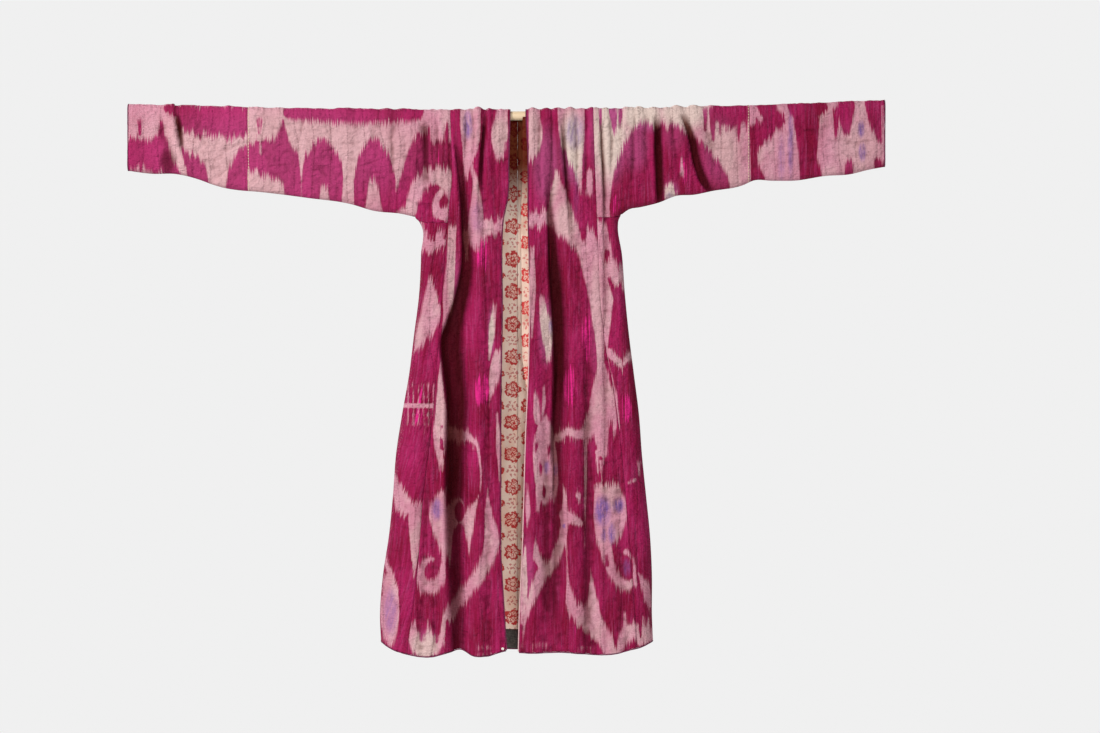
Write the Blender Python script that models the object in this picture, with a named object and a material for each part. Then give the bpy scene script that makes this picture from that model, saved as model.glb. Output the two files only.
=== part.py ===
"""Uzbek chapan robe hung by its sleeves on a slim wooden rod.

World frame, metres in Blender: X runs to the viewer's right along the rod, the robe's front faces -Y
and Z is up. The origin is the rod's axis at the neck, where the two fronts part. Sizes below are in
millimetres. Every cloth piece is a wall of even thickness on one hanging surface, which the gathers
and folds push in and out. The seams cut that surface into the pieces a tailor would sew.
"""

import math

import bmesh
import bpy
import numpy as np

MM = 0.001

# Driving sizes
ROD_RADIUS = 10.0
ROD_TILT = 0.0057       # rise for each millimetre to the right
ROD_BOW = 2.32e-5       # the rod sags in the middle under the robe
ROD_INSET = 4.0         # how far each rod end lies inside its cuff
WALL = 3.0              # quilted cloth with its wadding and lining
LINING_WALL = 1.0
SEAM_GAP = 0.3
EDGING_WIDTH = 2.2
EDGING_WALL = 3.6
CUFF = {"left": -847.0, "right": 799.0}
SLEEVE_SEAM = {"left": -586.0, "right": 504.0}
DIRECTION = {"left": -1.0, "right": 1.0}
FRONT, BACK = -1.0, 1.0

# Underarm of each side: height of the gore's top seam, and of the tip where sleeve and gore meet
UNDERARM = {"left": -232.7, "right": -220.8}
UNDERARM_TIP = {"left": -219.7, "right": -214.5}
TIP_GAP = 1.4           # room between sleeve and gore where the seam turns under the tip
ROUND_HEIGHT = 16.0     # height over which a sleeve's walls turn in to its lower seam

# Rows of the walls: turn over the rod, straight fall, underarm zone, skirt
ARC_STEPS = 3
FALL_ROWS = (0.055, 0.28, 0.52, 0.76, 1.0)
ROUND_STEPS = 3
SKIRT_ROWS = (0.07, 0.15, 0.24, 0.33, 0.42, 0.51, 0.60, 0.69, 0.78, 0.87, 0.955, 1.0)
LINING_LAST_ROW = 0.955
FRONT_COLUMNS = 16
BACK_STEP = 0.1
NECK_COLUMNS = 3
LINING_FROM = 0.55      # share of a back's width, from its seam, where the lining that shows begins

# The cloth over the rod clears it at the middle of each facet
REST_RADIUS = (ROD_RADIUS + SEAM_GAP) / math.cos(math.pi / 4 / ARC_STEPS) + WALL / 2
LEAST_DEPTH = 7.0

# z, added half depth of the hanging body below the rod
DEPTH = (
    (-1200, 36.0), (-1000, 30.0), (-750, 22.0), (-450, 12.0), (-233, 4.0), (-100, 1.0), (20, 0.0),
)
SLEEVE_EXTRA = 1.0
SLEEVE_FADE = 220.0

# z, left outline x, left turn, right outline x, right turn
SIDES = (
    (-1142, -296.9, 30, 294.7, 22), (-1085, -299.1, 30, 292.5, 22), (-998, -292.5, 29, 292.5, 24),
    (-911, -279.5, 28, 288.2, 26), (-824, -270.8, 27, 279.5, 26), (-737, -264.3, 26, 270.8, 25),
    (-650, -251.2, 24, 264.3, 23), (-563, -236.0, 22, 253.4, 22), (-476, -225.1, 20, 242.5, 20),
    (-389, -214.2, 18, 233.8, 18), (-302, -209.9, 16, 227.3, 17), (-237, -209.9, 15, 218.6, 15),
    (-228, -215.0, 20, 219.5, 16), (-220, -222.9, 27, 222.5, 19), (-214, -222.9, 27, 226.0, 22),
)

# z, left seam x, right seam x: armhole seam above the underarm, gore seam below it
SEAMS = (
    (-1161, -238.2, 259.9), (-998, -217.5, 249.0), (-835, -205.0, 236.0), (-681, -186.0, 220.8),
    (-583, -177.3, 207.0), (-507, -172.0, 192.5), (-396, -163.0, 179.4), (-311, -157.7, 176.0),
    (-220, -151.0, 172.9), (-128, -142.5, 169.0), (15, -146.8, 164.2),
)

# z, inner edge of the left front, inner edge of the right front, free edge of the right facing
FRONT_EDGES = (
    (-1161, -21.8, 1.1, -4.0), (-1053, -28.3, 4.4, 0.0), (-966, -33.7, 8.7, 3.0),
    (-868, -34.8, 12.0, 5.5), (-683, -34.8, 17.4, 8.0), (-563, -33.7, 22.8, 10.0),
    (-400, -31.5, 25.0, 9.5), (-291, -32.6, 23.9, 8.2), (-226, -29.4, 22.4, 8.2),
    (-183, -20.7, 22.2, 9.2), (-96, -17.4, 22.2, 11.0), (0, -15.2, 17.4, 11.5),
)

# x, z of the hem in front
FRONT_HEM = (
    (-299, -1141), (-286, -1149), (-273, -1157), (-247, -1166), (-186, -1174), (-147, -1164),
    (-121, -1159), (-95, -1171), (-68, -1172), (-23, -1161), (10, -1165), (101, -1164),
    (192, -1169), (219, -1166), (245, -1159), (266, -1154), (279, -1148), (295, -1141),
)

# x, z of the hem behind
BACK_HEM = (
    (-299, -1141), (-270, -1152), (-220, -1161), (-110, -1158), (0, -1163), (120, -1159),
    (230, -1160), (270, -1151), (295, -1141),
)
HEM_LEVEL = -1160.0

# x, z of the sleeves' lower line
SLEEVE_LOW = {
    "left": (
        (-850, -119), (-795, -126), (-743, -126.5), (-691, -139), (-664, -149), (-636, -157),
        (-612, -161), (-560, -165.5), (-456, -178.5), (-364, -191.5), (-312, -206.5),
        (-250, -213.5), (-223, -219.7),
    ),
    "right": (
        (226, -214.5), (240, -204.5), (268, -198.5), (306, -189), (345, -174), (384, -171.5),
        (423, -163.5), (488, -151.5), (514, -140.5), (554, -141), (606, -140.5), (671, -130.5),
        (723, -127), (762, -117.5), (800, -110.5),
    ),
}

# Gathers bunched on the rod: x on the rod, x where it dies out in front, x behind, z there, width, height
GATHERS = (
    (-752, -764, -756, -140, 18, 3.5), (-712, -694, -704, -150, 22, 3.0),
    (-560, -548, -566, -150, 26, 2.0), (-430, -446, -424, -170, 24, 2.5),
    (-283, -306, -296, -205, 14, 4.0), (-250, -262, -255, -190, 9, 3.0),
    (-219, -226, -222, -225, 9, 4.5), (-200, -205, -204, -215, 7, 3.5),
    (-184, -185, -188, -226, 8, 5.0), (-165, -168, -164, -210, 7, 4.0),
    (-125, -129, -118, -300, 11, 8.0), (-104, -104, -100, -230, 6, 4.0),
    (-88, -80, -84, -560, 11, 8.0), (-62, -58, -66, -430, 8, 5.0),
    (-38, -42, -44, -300, 8, 4.0), (36, 40, 34, -330, 9, 4.0),
    (62, 56, 60, -280, 9, 5.0), (88, 96, 92, -260, 8, 4.0),
    (114, 116, 110, -520, 13, 8.0), (140, 140, 144, -230, 8, 5.0),
    (158, 160, 156, -225, 7, 5.0), (192, 190, 194, -215, 9, 5.0),
    (213, 210, 216, -205, 7, 4.0), (234, 228, 236, -205, 10, 6.0),
    (266, 262, 264, -200, 9, 4.5), (295, 302, 298, -190, 12, 8.0),
    (322, 340, 328, -180, 9, 5.0), (346, 376, 358, -172, 13, 8.5),
    (384, 424, 396, -166, 15, 6.0), (450, 470, 462, -150, 22, 3.0),
    (560, 552, 572, -130, 26, 2.0), (690, 702, 684, -120, 26, 2.0),
)

# Long folds of the skirt: x at the top, x at the foot, z of the top, z of the foot, width, height
FRONT_FOLDS = (
    (-134, -124, -60, -1300, 21, -13), (-84, -84, -330, -1300, 16, 11),
    (-153, -160, -480, -1300, 10, 7), (-52, -48, -560, -1300, 16, 5),
    (-205, -262, -620, -1300, 18, 5), (-190, -214, -560, -1300, 10, -3),
    (68, 66, -160, -1120, 18, -11), (112, 128, -300, -1300, 22, 9),
    (36, 34, -420, -1300, 14, 5), (150, 146, -450, -1300, 12, -5),
    (186, 196, -560, -1300, 18, 6), (226, 262, -560, -1300, 15, 4),
)
BACK_FOLDS = (
    (-152, -182, -180, -1300, 24, 9), (-112, -118, -260, -1300, 22, -9),
    (-66, -62, -120, -1300, 20, 8), (-8, -6, -300, -1300, 24, -8),
    (46, 52, -140, -1300, 20, 9), (96, 104, -240, -1300, 22, -9),
    (142, 166, -160, -1300, 24, 9), (-204, -256, -520, -1300, 20, 4),
    (212, 252, -520, -1300, 18, 4),
)
FOLD_FADE = 90.0

# Neck: the back dips behind the rod where the fronts part
NECK_HALF = 27.0
NECK_FADE = 11.0
NECK_TURN = 0.88


def curve(table, column, at):
    """Smooth value of one column of a table keyed by its first column."""
    rows = sorted(table)
    keys = np.array([row[0] for row in rows], dtype=float)
    values = np.array([row[column] for row in rows], dtype=float)
    slopes = np.gradient(values, keys)
    at = np.clip(at, keys[0], keys[-1])
    n = np.clip(np.searchsorted(keys, at) - 1, 0, len(keys) - 2)
    span = keys[n + 1] - keys[n]
    t = (at - keys[n]) / span
    return (
        values[n] * (1 + 2 * t) * (1 - t) ** 2
        + slopes[n] * span * t * (1 - t) ** 2
        + values[n + 1] * t * t * (3 - 2 * t)
        + slopes[n + 1] * span * t * t * (t - 1)
    )


def ease(t):
    """Smooth step from 0 to 1."""
    t = np.clip(t, 0.0, 1.0)
    return t * t * (3 - 2 * t)


def rod_height(x):
    return ROD_TILT * x + ROD_BOW * x * x


def ridge(x, centre, width):
    return np.exp(-(((x - centre) / width) ** 2))


def gather_rise(x, z, face):
    """Bunched cloth that stands out from the rod and dies out down the wall."""
    rise = 0.0
    for top_x, front_x, back_x, low_z, width, height in GATHERS:
        share = np.clip(z / low_z, 0.0, 1.0)
        foot_x = front_x if face == FRONT else back_x
        centre = top_x + (foot_x - top_x) * share
        rise = rise + height * (1 - ease((share - 0.35) / 0.65)) * ridge(x, centre, width)
    return rise


def fold_rise(x, z, face):
    """Long folds of the skirt, shallower where the body is thin."""
    rise = 0.0
    for top_x, foot_x, top_z, foot_z, width, height in FRONT_FOLDS if face == FRONT else BACK_FOLDS:
        share = np.clip((top_z - z) / (top_z - foot_z), 0.0, 1.0)
        centre = top_x + (foot_x - top_x) * share
        shown = ease((top_z - z) / FOLD_FADE) * ease((z - foot_z) / FOLD_FADE)
        rise = rise + height * shown * ridge(x, centre, width)
    return rise * np.clip(curve(DEPTH, 1, z) / 22.0, 0.15, 1.0)


def half_depth(x, z, face):
    """Distance of the middle of the wall from the plane through the rod."""
    outside = np.maximum(-195.0 - x, x - 204.0)
    sleeve = ease(outside / SLEEVE_FADE)
    extra = curve(DEPTH, 1, z) * (1 - sleeve) + SLEEVE_EXTRA * sleeve
    depth = REST_RADIUS + extra + gather_rise(x, z, face) + fold_rise(x, z, face)
    return np.maximum(depth, LEAST_DEPTH)


def side_column(side, first):
    return first if side == "left" else first + 2


def side_x(side, z):
    """Middle of the wall at the outline of one side of the skirt."""
    return curve(SIDES, side_column(side, 1), z) - DIRECTION[side] * WALL / 2


def side_turn(side, z):
    return curve(SIDES, side_column(side, 2), z)


def seam_x(side, z):
    return curve(SEAMS, 1 if side == "left" else 2, z)


def hem_z(x, face):
    return curve(FRONT_HEM if face == FRONT else BACK_HEM, 1, x)


def skirt_z(top, hem, row, trim):
    """Height of a skirt row: 3 is the top of the skirt and 4 its hem, or 4 to 5 across the hem's edging."""
    if trim:
        return hem + EDGING_WIDTH * (5 - row)
    return top + (hem + EDGING_WIDTH + SEAM_GAP - top) * (row - 3)


def body_point(side, face, place, row, trim=False):
    """A point of a front or back; place gives x from z, and row runs down from the rod to the hem."""
    rod = rod_height(place(0.0 * row))
    low = UNDERARM[side]
    hem = hem_z(place(HEM_LEVEL + 0.0 * row), face)
    fall = rod + (low + ROUND_HEIGHT - rod) * (row - 1)
    zone = low + ROUND_HEIGHT * (3 - row)
    z = np.where(row <= 2, fall, np.where(row <= 3, zone, skirt_z(low, hem, row, trim)))
    z = np.where(row < 1, rod, z)
    x = place(z)
    depth = half_depth(x, z, face)
    turn = np.clip(row, 0.0, 1.0)
    if face == BACK:
        notch = NECK_TURN * np.clip((NECK_HALF - np.abs(x)) / NECK_FADE, 0.0, 1.0)
        turn = notch + (1 - notch) * turn
    y = depth * np.sin(turn * math.pi / 2)
    z = z + np.where(row < 1, depth * np.cos(turn * math.pi / 2), 0.0)
    return np.stack([x, face * y, z], axis=-1)


def underarm_z(side, angle):
    """Height of the seam between sleeve and gore, from its flat run (0) round to the tip (a right angle)."""
    return UNDERARM[side] + (UNDERARM_TIP[side] - UNDERARM[side]) * (1 - np.cos(angle))


def gore_point(side, around, row, trim=False):
    """A point of a side gore: around is 0 at the front seam, 1 at the outline and 2 at the back seam."""
    inward = 1 - np.abs(around - 1)
    face = np.where(around <= 1, FRONT, BACK)
    angle = np.clip((inward - 0.5) * 2, 0.0, 1.0) * math.pi / 2
    straight = np.clip(inward * 2, -1.0, 1.0)

    def plan(z):
        turn = side_turn(side, z)
        centre = side_x(side, z) - DIRECTION[side] * turn
        start = seam_x(side, z) + DIRECTION[side] * SEAM_GAP / 2
        return start + (centre - start) * straight + DIRECTION[side] * turn * np.sin(angle)

    foot = plan(HEM_LEVEL + 0.0 * row)
    hem = np.where(face == FRONT, hem_z(foot, FRONT), hem_z(foot, BACK))
    top = underarm_z(side, angle) - SEAM_GAP / 2 - TIP_GAP * np.sin(angle)
    z = skirt_z(top, hem, row, trim)
    x = plan(z)
    depth = np.where(face == FRONT, half_depth(x, z, FRONT), half_depth(x, z, BACK))
    return np.stack([x, face * depth * np.cos(angle), z], axis=-1)


def sleeve_point(side, along, around):
    """A point of a sleeve.

    along is minus the distance in millimetres outside the underarm, or 0 to 1 from there to the armhole.
    around runs from -3 at the lower seam in front, over the rod at 0, to 3 at the lower seam behind.
    """
    face = np.where(around <= 0, FRONT, BACK)
    row = np.abs(around)
    low = UNDERARM[side]
    turn_top = side_turn(side, low)
    start = side_x(side, low) - DIRECTION[side] * turn_top
    outer_x = start - DIRECTION[side] * np.minimum(along, 0.0)
    tip = abs(side_x(side, UNDERARM_TIP[side]) - start)
    angle = np.arcsin(np.clip(-along / tip, 0.0, 1.0))
    open_z = underarm_z(side, angle) + SEAM_GAP / 2 + WALL / 2 * np.sin(angle)
    closed_z = curve(SLEEVE_LOW[side], 1, outer_x) + WALL / 2
    end_z = np.where(-along < tip, open_z, closed_z)

    def place(z):
        inner = seam_x(side, z) + DIRECTION[side] * SEAM_GAP / 2
        return np.where(along > 0, start + (inner - start) * along, outer_x)

    rod = rod_height(place(0.0 * row))
    fall = rod + (end_z + ROUND_HEIGHT - rod) * (row - 1)
    x = place(np.where(row < 1, rod, fall))
    depth_top = np.where(face == FRONT, half_depth(x, fall, FRONT), half_depth(x, fall, BACK))
    last = np.maximum(depth_top * np.cos(angle), SEAM_GAP / 2)
    turn = np.maximum(np.arccos(np.clip(last / depth_top, 0.0, 1.0)), 1e-4)
    share = np.clip(row - 2, 0.0, 1.0)
    zone = end_z + ROUND_HEIGHT * (1 - np.sin(share * turn) / np.sin(turn))
    z = np.where(row <= 1, rod, np.where(row <= 2, fall, zone))
    x = place(z)
    depth = np.where(face == FRONT, half_depth(x, z, FRONT), half_depth(x, z, BACK))
    over = np.clip(row, 0.0, 1.0) * math.pi / 2
    y = depth * np.where(row < 1, np.sin(over), np.cos(share * turn))
    z = z + np.where(row < 1, depth * np.cos(over), 0.0)
    return np.stack([x, face * y, z], axis=-1)


def wall_mesh(name, point, columns, rows, wall, colour, roughness, shift=0.0):
    """A closed wall of even thickness on the surface point(column, row), moved outwards by shift."""
    u, v = np.meshgrid(np.array(columns, dtype=float), np.array(rows, dtype=float), indexing="ij")
    step = 1e-3
    middle = point(u, v)
    across = point(u + step, v) - point(u - step, v)
    down = point(u, v + step) - point(u, v - step)
    normal = np.cross(across, down)
    normal /= np.linalg.norm(normal, axis=-1, keepdims=True)
    if np.sum(normal * middle * (0, 1, 0)) < 0:
        normal = -normal
    outer = middle + normal * (shift + wall / 2)
    inner = middle + normal * (shift - wall / 2)
    mesh = bmesh.new()
    outside = [[mesh.verts.new(p * MM) for p in line] for line in outer]
    inside = [[mesh.verts.new(p * MM) for p in line] for line in inner]
    last_i, last_j = len(outside) - 1, len(outside[0]) - 1
    for i in range(last_i):
        for j in range(last_j):
            for sheet in (outside, inside):
                mesh.faces.new((sheet[i][j], sheet[i + 1][j], sheet[i + 1][j + 1], sheet[i][j + 1]))
    for i in range(last_i):
        for j in (0, last_j):
            mesh.faces.new((outside[i][j], outside[i + 1][j], inside[i + 1][j], inside[i][j]))
    for j in range(last_j):
        for i in (0, last_i):
            mesh.faces.new((outside[i][j], outside[i][j + 1], inside[i][j + 1], inside[i][j]))
    return add_object(name, mesh, colour, roughness)


def add_object(name, mesh, colour, roughness):
    """Turn a finished bmesh into a named object with its own material."""
    bmesh.ops.recalc_face_normals(mesh, faces=mesh.faces)
    data = bpy.data.meshes.new(name)
    mesh.to_mesh(data)
    mesh.free()
    data.shade_smooth()
    data.set_sharp_from_angle(angle=math.radians(60))
    material = bpy.data.materials.new(name)
    material.use_nodes = True
    shader = material.node_tree.nodes["Principled BSDF"]
    shader.inputs["Base Color"].default_value = (*colour, 1.0)
    shader.inputs["Roughness"].default_value = roughness
    shader.inputs["Metallic"].default_value = 0.0
    data.materials.append(material)
    thing = bpy.data.objects.new(name, data)
    bpy.context.scene.collection.objects.link(thing)
    return thing


IKAT = (0.42, 0.02, 0.16)
LINING = (0.72, 0.60, 0.42)
FACING = (0.10, 0.10, 0.09)
EDGING = (0.10, 0.01, 0.05)
WOOD = (0.86, 0.76, 0.55)


def wall_rows(first_turn, last=4.0):
    """Rows of a front or back from the rod to the hem, as body_point counts them."""
    rows = [first_turn + (1 - first_turn) * n / ARC_STEPS for n in range(ARC_STEPS + 1)]
    rows += [1 + share for share in FALL_ROWS]
    rows += [2 + (n + 1) / ROUND_STEPS for n in range(ROUND_STEPS)]
    rows += [3 + share for share in SKIRT_ROWS]
    return [row for row in rows if row <= last + 1e-9]


CREST_ROW = SEAM_GAP / 2 / REST_RADIUS / (math.pi / 2)
BODY_ROWS = wall_rows(CREST_ROW)


def between(first, last, column):
    """Place function: x from z, part of the way from one edge line to another."""
    return lambda z: first(z) + (last(z) - first(z)) * column


def front_lines(side):
    """Seam line and inner edge line of a front, both already set back for their gaps."""
    away = DIRECTION[side]
    edge_column = 1 if side == "left" else 2

    def seam(z):
        return seam_x(side, z) - away * SEAM_GAP / 2

    def edge(z):
        return curve(FRONT_EDGES, edge_column, z) + away * (EDGING_WIDTH + SEAM_GAP)

    return seam, edge


def even(count):
    return [n / count for n in range(count + 1)]


def build_rod():
    """Round rod whose ends are cut square, as rings along its bow."""
    mesh = bmesh.new()
    sides, rings = 16, 14
    first, last = CUFF["left"] + ROD_INSET, CUFF["right"] - ROD_INSET
    loops = []
    for n in range(rings + 1):
        x = first + (last - first) * n / rings
        turns = [2 * math.pi * (k + 0.5) / sides for k in range(sides)]
        loops.append([
            mesh.verts.new((x * MM, ROD_RADIUS * math.sin(a) * MM,
                            (rod_height(x) + ROD_RADIUS * math.cos(a)) * MM))
            for a in turns
        ])
    for one, other in zip(loops, loops[1:]):
        for k in range(sides):
            m = (k + 1) % sides
            mesh.faces.new((one[k], one[m], other[m], other[k]))
    mesh.faces.new(loops[0])
    mesh.faces.new(loops[-1])
    add_object("rod", mesh, WOOD, 0.6)


def build_front(side):
    seam, edge = front_lines(side)

    def point(column, row):
        return body_point(side, FRONT, between(seam, edge, column), row)

    wall_mesh(f"front_{side}", point, even(FRONT_COLUMNS), BODY_ROWS, WALL, IKAT, 0.6)


def build_front_edging(side):
    away = DIRECTION[side]
    edge_column = 1 if side == "left" else 2

    def edge(z):
        return curve(FRONT_EDGES, edge_column, z)

    def point(column, row):
        return body_point(side, FRONT, lambda z: edge(z) + away * EDGING_WIDTH * column, row)

    wall_mesh(f"edging_front_{side}", point, (0.0, 1.0), BODY_ROWS, EDGING_WALL, EDGING, 0.7)


def back_lines(side):
    away = DIRECTION[side]

    def seam(z):
        return seam_x(side, z) - away * SEAM_GAP / 2

    def middle(z):
        return away * SEAM_GAP / 2 + 0.0 * z

    return seam, middle


def back_columns(side):
    """Even columns from the seam to the neck, closer ones down the side of the neck, and the middle."""
    half_width = abs(seam_x(side, 0.0))
    neck = [1 - (NECK_HALF - NECK_FADE * n / NECK_COLUMNS) / half_width for n in range(NECK_COLUMNS + 1)]
    body = [n * BACK_STEP for n in range(int(neck[0] / BACK_STEP) + 1)]
    return body + neck + [1.0]


def build_back(side):
    seam, middle = back_lines(side)

    def point(column, row):
        return body_point(side, BACK, between(seam, middle, column), row)

    wall_mesh(f"back_{side}", point, back_columns(side), BODY_ROWS, WALL, IKAT, 0.6)


def build_lining(side):
    """Lining and hem facing inside the back, where the open front shows them."""
    seam, middle = back_lines(side)
    columns = [column for column in back_columns(side) if column > LINING_FROM]
    shift = -(WALL / 2 + SEAM_GAP + LINING_WALL / 2)

    def point(column, row):
        return body_point(side, BACK, between(seam, middle, column), row)

    lining_rows = [row for row in BODY_ROWS if 1.01 < row <= 3 + LINING_LAST_ROW + 1e-9]
    wall_mesh(f"lining_{side}", point, columns, lining_rows, LINING_WALL, LINING, 0.8, shift)
    facing_rows = (3 + LINING_LAST_ROW + SEAM_GAP * MM, 4.0)
    wall_mesh(f"hem_facing_{side}", point, columns, facing_rows, LINING_WALL, FACING, 0.8, shift)


def build_front_facing():
    """Lining of the right front, turned a little past its edge."""
    seam, edge = front_lines("right")
    near = even(FRONT_COLUMNS)[-2]

    def place_of(column):
        def place(z):
            hidden = seam(z) + (edge(z) - seam(z)) * (near + (1 - near) * np.minimum(column, 1.0))
            return hidden + (curve(FRONT_EDGES, 3, z) - edge(z)) * np.clip(column - 1.0, 0.0, 2.0)
        return place

    def point(column, row):
        return body_point("right", FRONT, place_of(column), row)

    rows = [row for row in BODY_ROWS if 1.01 < row <= 3.43]
    shift = -(EDGING_WALL / 2 + SEAM_GAP + LINING_WALL / 2)
    wall_mesh("front_facing_right", point, (0.0, 1.0, 2.0), rows, LINING_WALL, LINING, 0.8, shift)


def gore_columns():
    straight = (0.0, 0.25, 0.5)
    turned = tuple(0.5 + (n + 1) / 6 for n in range(3))
    half = straight + turned
    return half + tuple(2 - c for c in reversed(half[:-1]))


def build_gore(side):
    def point(column, row):
        return gore_point(side, column, row)

    rows = (3.0,) + tuple(3 + share for share in SKIRT_ROWS)
    wall_mesh(f"gore_{side}", point, gore_columns(), rows, WALL, IKAT, 0.6)


def build_hem_edging(side):
    """Narrow braid under the hem of a front, a back and a gore."""
    front_seam, front_edge = front_lines(side)
    back_seam, middle = back_lines(side)
    rows = (4.0, 5.0)

    def front(column, row):
        return body_point(side, FRONT, between(front_seam, front_edge, column), row, trim=True)

    def back(column, row):
        return body_point(side, BACK, between(back_seam, middle, column), row, trim=True)

    def gore(column, row):
        return gore_point(side, column, row, trim=True)

    wall_mesh(f"edging_hem_front_{side}", front, even(FRONT_COLUMNS), rows, EDGING_WALL, EDGING, 0.7)
    wall_mesh(f"edging_hem_back_{side}", back, back_columns(side), rows, EDGING_WALL, EDGING, 0.7)
    wall_mesh(f"edging_hem_gore_{side}", gore, gore_columns(), rows, EDGING_WALL, EDGING, 0.7)


def sleeve_rows():
    """Rows round a sleeve, from its lower seam in front over the rod to its lower seam behind."""
    half = [n / ARC_STEPS for n in range(1, ARC_STEPS + 1)]
    half += [1 + share for share in FALL_ROWS[1:]]
    half += [2 + (n + 1) / ROUND_STEPS for n in range(ROUND_STEPS)]
    return [-row for row in reversed(half)] + [0.0] + half


def build_sleeve(side):
    """Upper and lower piece of a sleeve, and the braid round its cuff."""
    low = UNDERARM[side]
    start = side_x(side, low) - DIRECTION[side] * side_turn(side, low)
    tip = abs(side_x(side, UNDERARM_TIP[side]) - start)
    to_seam = abs(SLEEVE_SEAM[side] - start)
    to_cuff = abs(CUFF[side] - start)
    to_edging = to_cuff - EDGING_WIDTH - SEAM_GAP

    def point(along, around):
        return sleeve_point(side, along, around)

    def distances(first, last, count):
        return [-(first + (last - first) * n / count) for n in range(count + 1)]

    turned = [-tip * math.sin(math.radians(a)) for a in (60, 30, 0)]
    upper = distances(to_seam - SEAM_GAP / 2, tip, 7) + turned + [0.5, 1.0]
    lower = distances(to_edging, to_seam + SEAM_GAP / 2, 5)
    edging = distances(to_cuff, to_cuff - EDGING_WIDTH, 1)
    rows = sleeve_rows()
    wall_mesh(f"sleeve_upper_{side}", point, upper, rows, WALL, IKAT, 0.6)
    wall_mesh(f"sleeve_lower_{side}", point, lower, rows, WALL, IKAT, 0.6)
    wall_mesh(f"edging_cuff_{side}", point, edging, rows, EDGING_WALL, EDGING, 0.7)


def main():
    for thing in list(bpy.data.objects):
        bpy.data.objects.remove(thing, do_unlink=True)
    build_rod()
    for side in ("left", "right"):
        build_front(side)
        build_front_edging(side)
        build_back(side)
        build_lining(side)
        build_gore(side)
        build_hem_edging(side)
        build_sleeve(side)
    build_front_facing()


main()
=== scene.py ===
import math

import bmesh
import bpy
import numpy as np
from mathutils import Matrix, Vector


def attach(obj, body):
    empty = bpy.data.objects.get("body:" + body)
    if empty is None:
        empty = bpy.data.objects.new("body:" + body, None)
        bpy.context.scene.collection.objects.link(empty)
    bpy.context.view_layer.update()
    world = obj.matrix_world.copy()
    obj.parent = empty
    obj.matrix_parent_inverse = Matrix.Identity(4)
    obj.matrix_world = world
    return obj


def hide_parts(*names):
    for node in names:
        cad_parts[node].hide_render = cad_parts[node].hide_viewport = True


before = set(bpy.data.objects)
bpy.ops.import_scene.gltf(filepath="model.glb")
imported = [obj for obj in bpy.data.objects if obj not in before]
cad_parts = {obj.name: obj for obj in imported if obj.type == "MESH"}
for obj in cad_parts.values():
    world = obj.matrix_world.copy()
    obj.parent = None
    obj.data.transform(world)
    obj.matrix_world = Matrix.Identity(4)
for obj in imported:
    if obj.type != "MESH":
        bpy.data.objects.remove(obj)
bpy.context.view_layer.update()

# Looks of a quilted ikat robe that hangs by its sleeves on a slim wooden rod.
#
# X runs to the viewer's right along the rod, the front faces -Y and Z is up. The origin is the rod's
# axis at the neck. Cloth is worked out in millimetres, and dye motifs are charted in centimetres.
# Each piece is a thin closed shell on the hanging surface that its solid has, with finer relief on it.

MM = 0.001

# Sizes that the solids have
ROD_RADIUS = 10.0
ROD_TILT = 0.0057
ROD_BOW = 2.32e-5
WALL = 3.0
LINING_WALL = 1.0
SEAM_GAP = 0.3
EDGING_WIDTH = 2.2
EDGING_WALL = 3.8
CUFF = {"left": -847.0, "right": 799.0}
SLEEVE_SEAM = {"left": -586.0, "right": 504.0}
DIRECTION = {"left": -1.0, "right": 1.0}
FRONT, BACK = -1.0, 1.0
UNDERARM = {"left": -232.7, "right": -220.8}
UNDERARM_TIP = {"left": -219.7, "right": -214.5}
TIP_GAP = 1.4
ROUND_HEIGHT = 16.0
ARC_STEPS = 3
REST_RADIUS = (ROD_RADIUS + SEAM_GAP) / math.cos(math.pi / 4 / ARC_STEPS) + WALL / 2
LEAST_DEPTH = 7.0
NECK_HALF = 27.0
NECK_FADE = 11.0
NECK_TURN = 0.88
HEM_LEVEL = -1160.0
LINING_FROM = 0.55
LINING_LAST_ROW = 3.955
FACING_LAST_ROW = 3.43
FACING_FOOT = -645.0
FACING_TAPER = 130.0

# Length of mesh cells: front and sleeves, gores, back, lining
FRONT_CELL = 2.7
GORE_CELL = 3.1
BACK_CELL = 4.2
LINING_CELL = 5.0

# z, added half depth of the hanging body below the rod
DEPTH = (
    (-1200, 36.0), (-1000, 30.0), (-750, 22.0), (-450, 12.0), (-233, 4.0), (-100, 1.0), (20, 0.0),
)
SLEEVE_EXTRA = 1.0
SLEEVE_FADE = 220.0

# z, left outline x, left turn, right outline x, right turn
SIDES = (
    (-1142, -296.9, 30, 294.7, 22), (-1085, -299.1, 30, 292.5, 22), (-998, -292.5, 29, 292.5, 24),
    (-911, -279.5, 28, 288.2, 26), (-824, -270.8, 27, 279.5, 26), (-737, -264.3, 26, 270.8, 25),
    (-650, -251.2, 24, 264.3, 23), (-563, -236.0, 22, 253.4, 22), (-476, -225.1, 20, 242.5, 20),
    (-389, -214.2, 18, 233.8, 18), (-302, -209.9, 16, 227.3, 17), (-237, -209.9, 15, 218.6, 15),
    (-228, -215.0, 20, 219.5, 16), (-220, -222.9, 27, 222.5, 19), (-214, -222.9, 27, 226.0, 22),
)

# z, left seam x, right seam x: armhole seam above the underarm, gore seam below it
SEAMS = (
    (-1161, -238.2, 259.9), (-998, -217.5, 249.0), (-835, -205.0, 236.0), (-681, -186.0, 220.8),
    (-583, -177.3, 207.0), (-507, -172.0, 192.5), (-396, -163.0, 179.4), (-311, -157.7, 176.0),
    (-220, -151.0, 172.9), (-128, -142.5, 169.0), (15, -146.8, 164.2),
)

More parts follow.
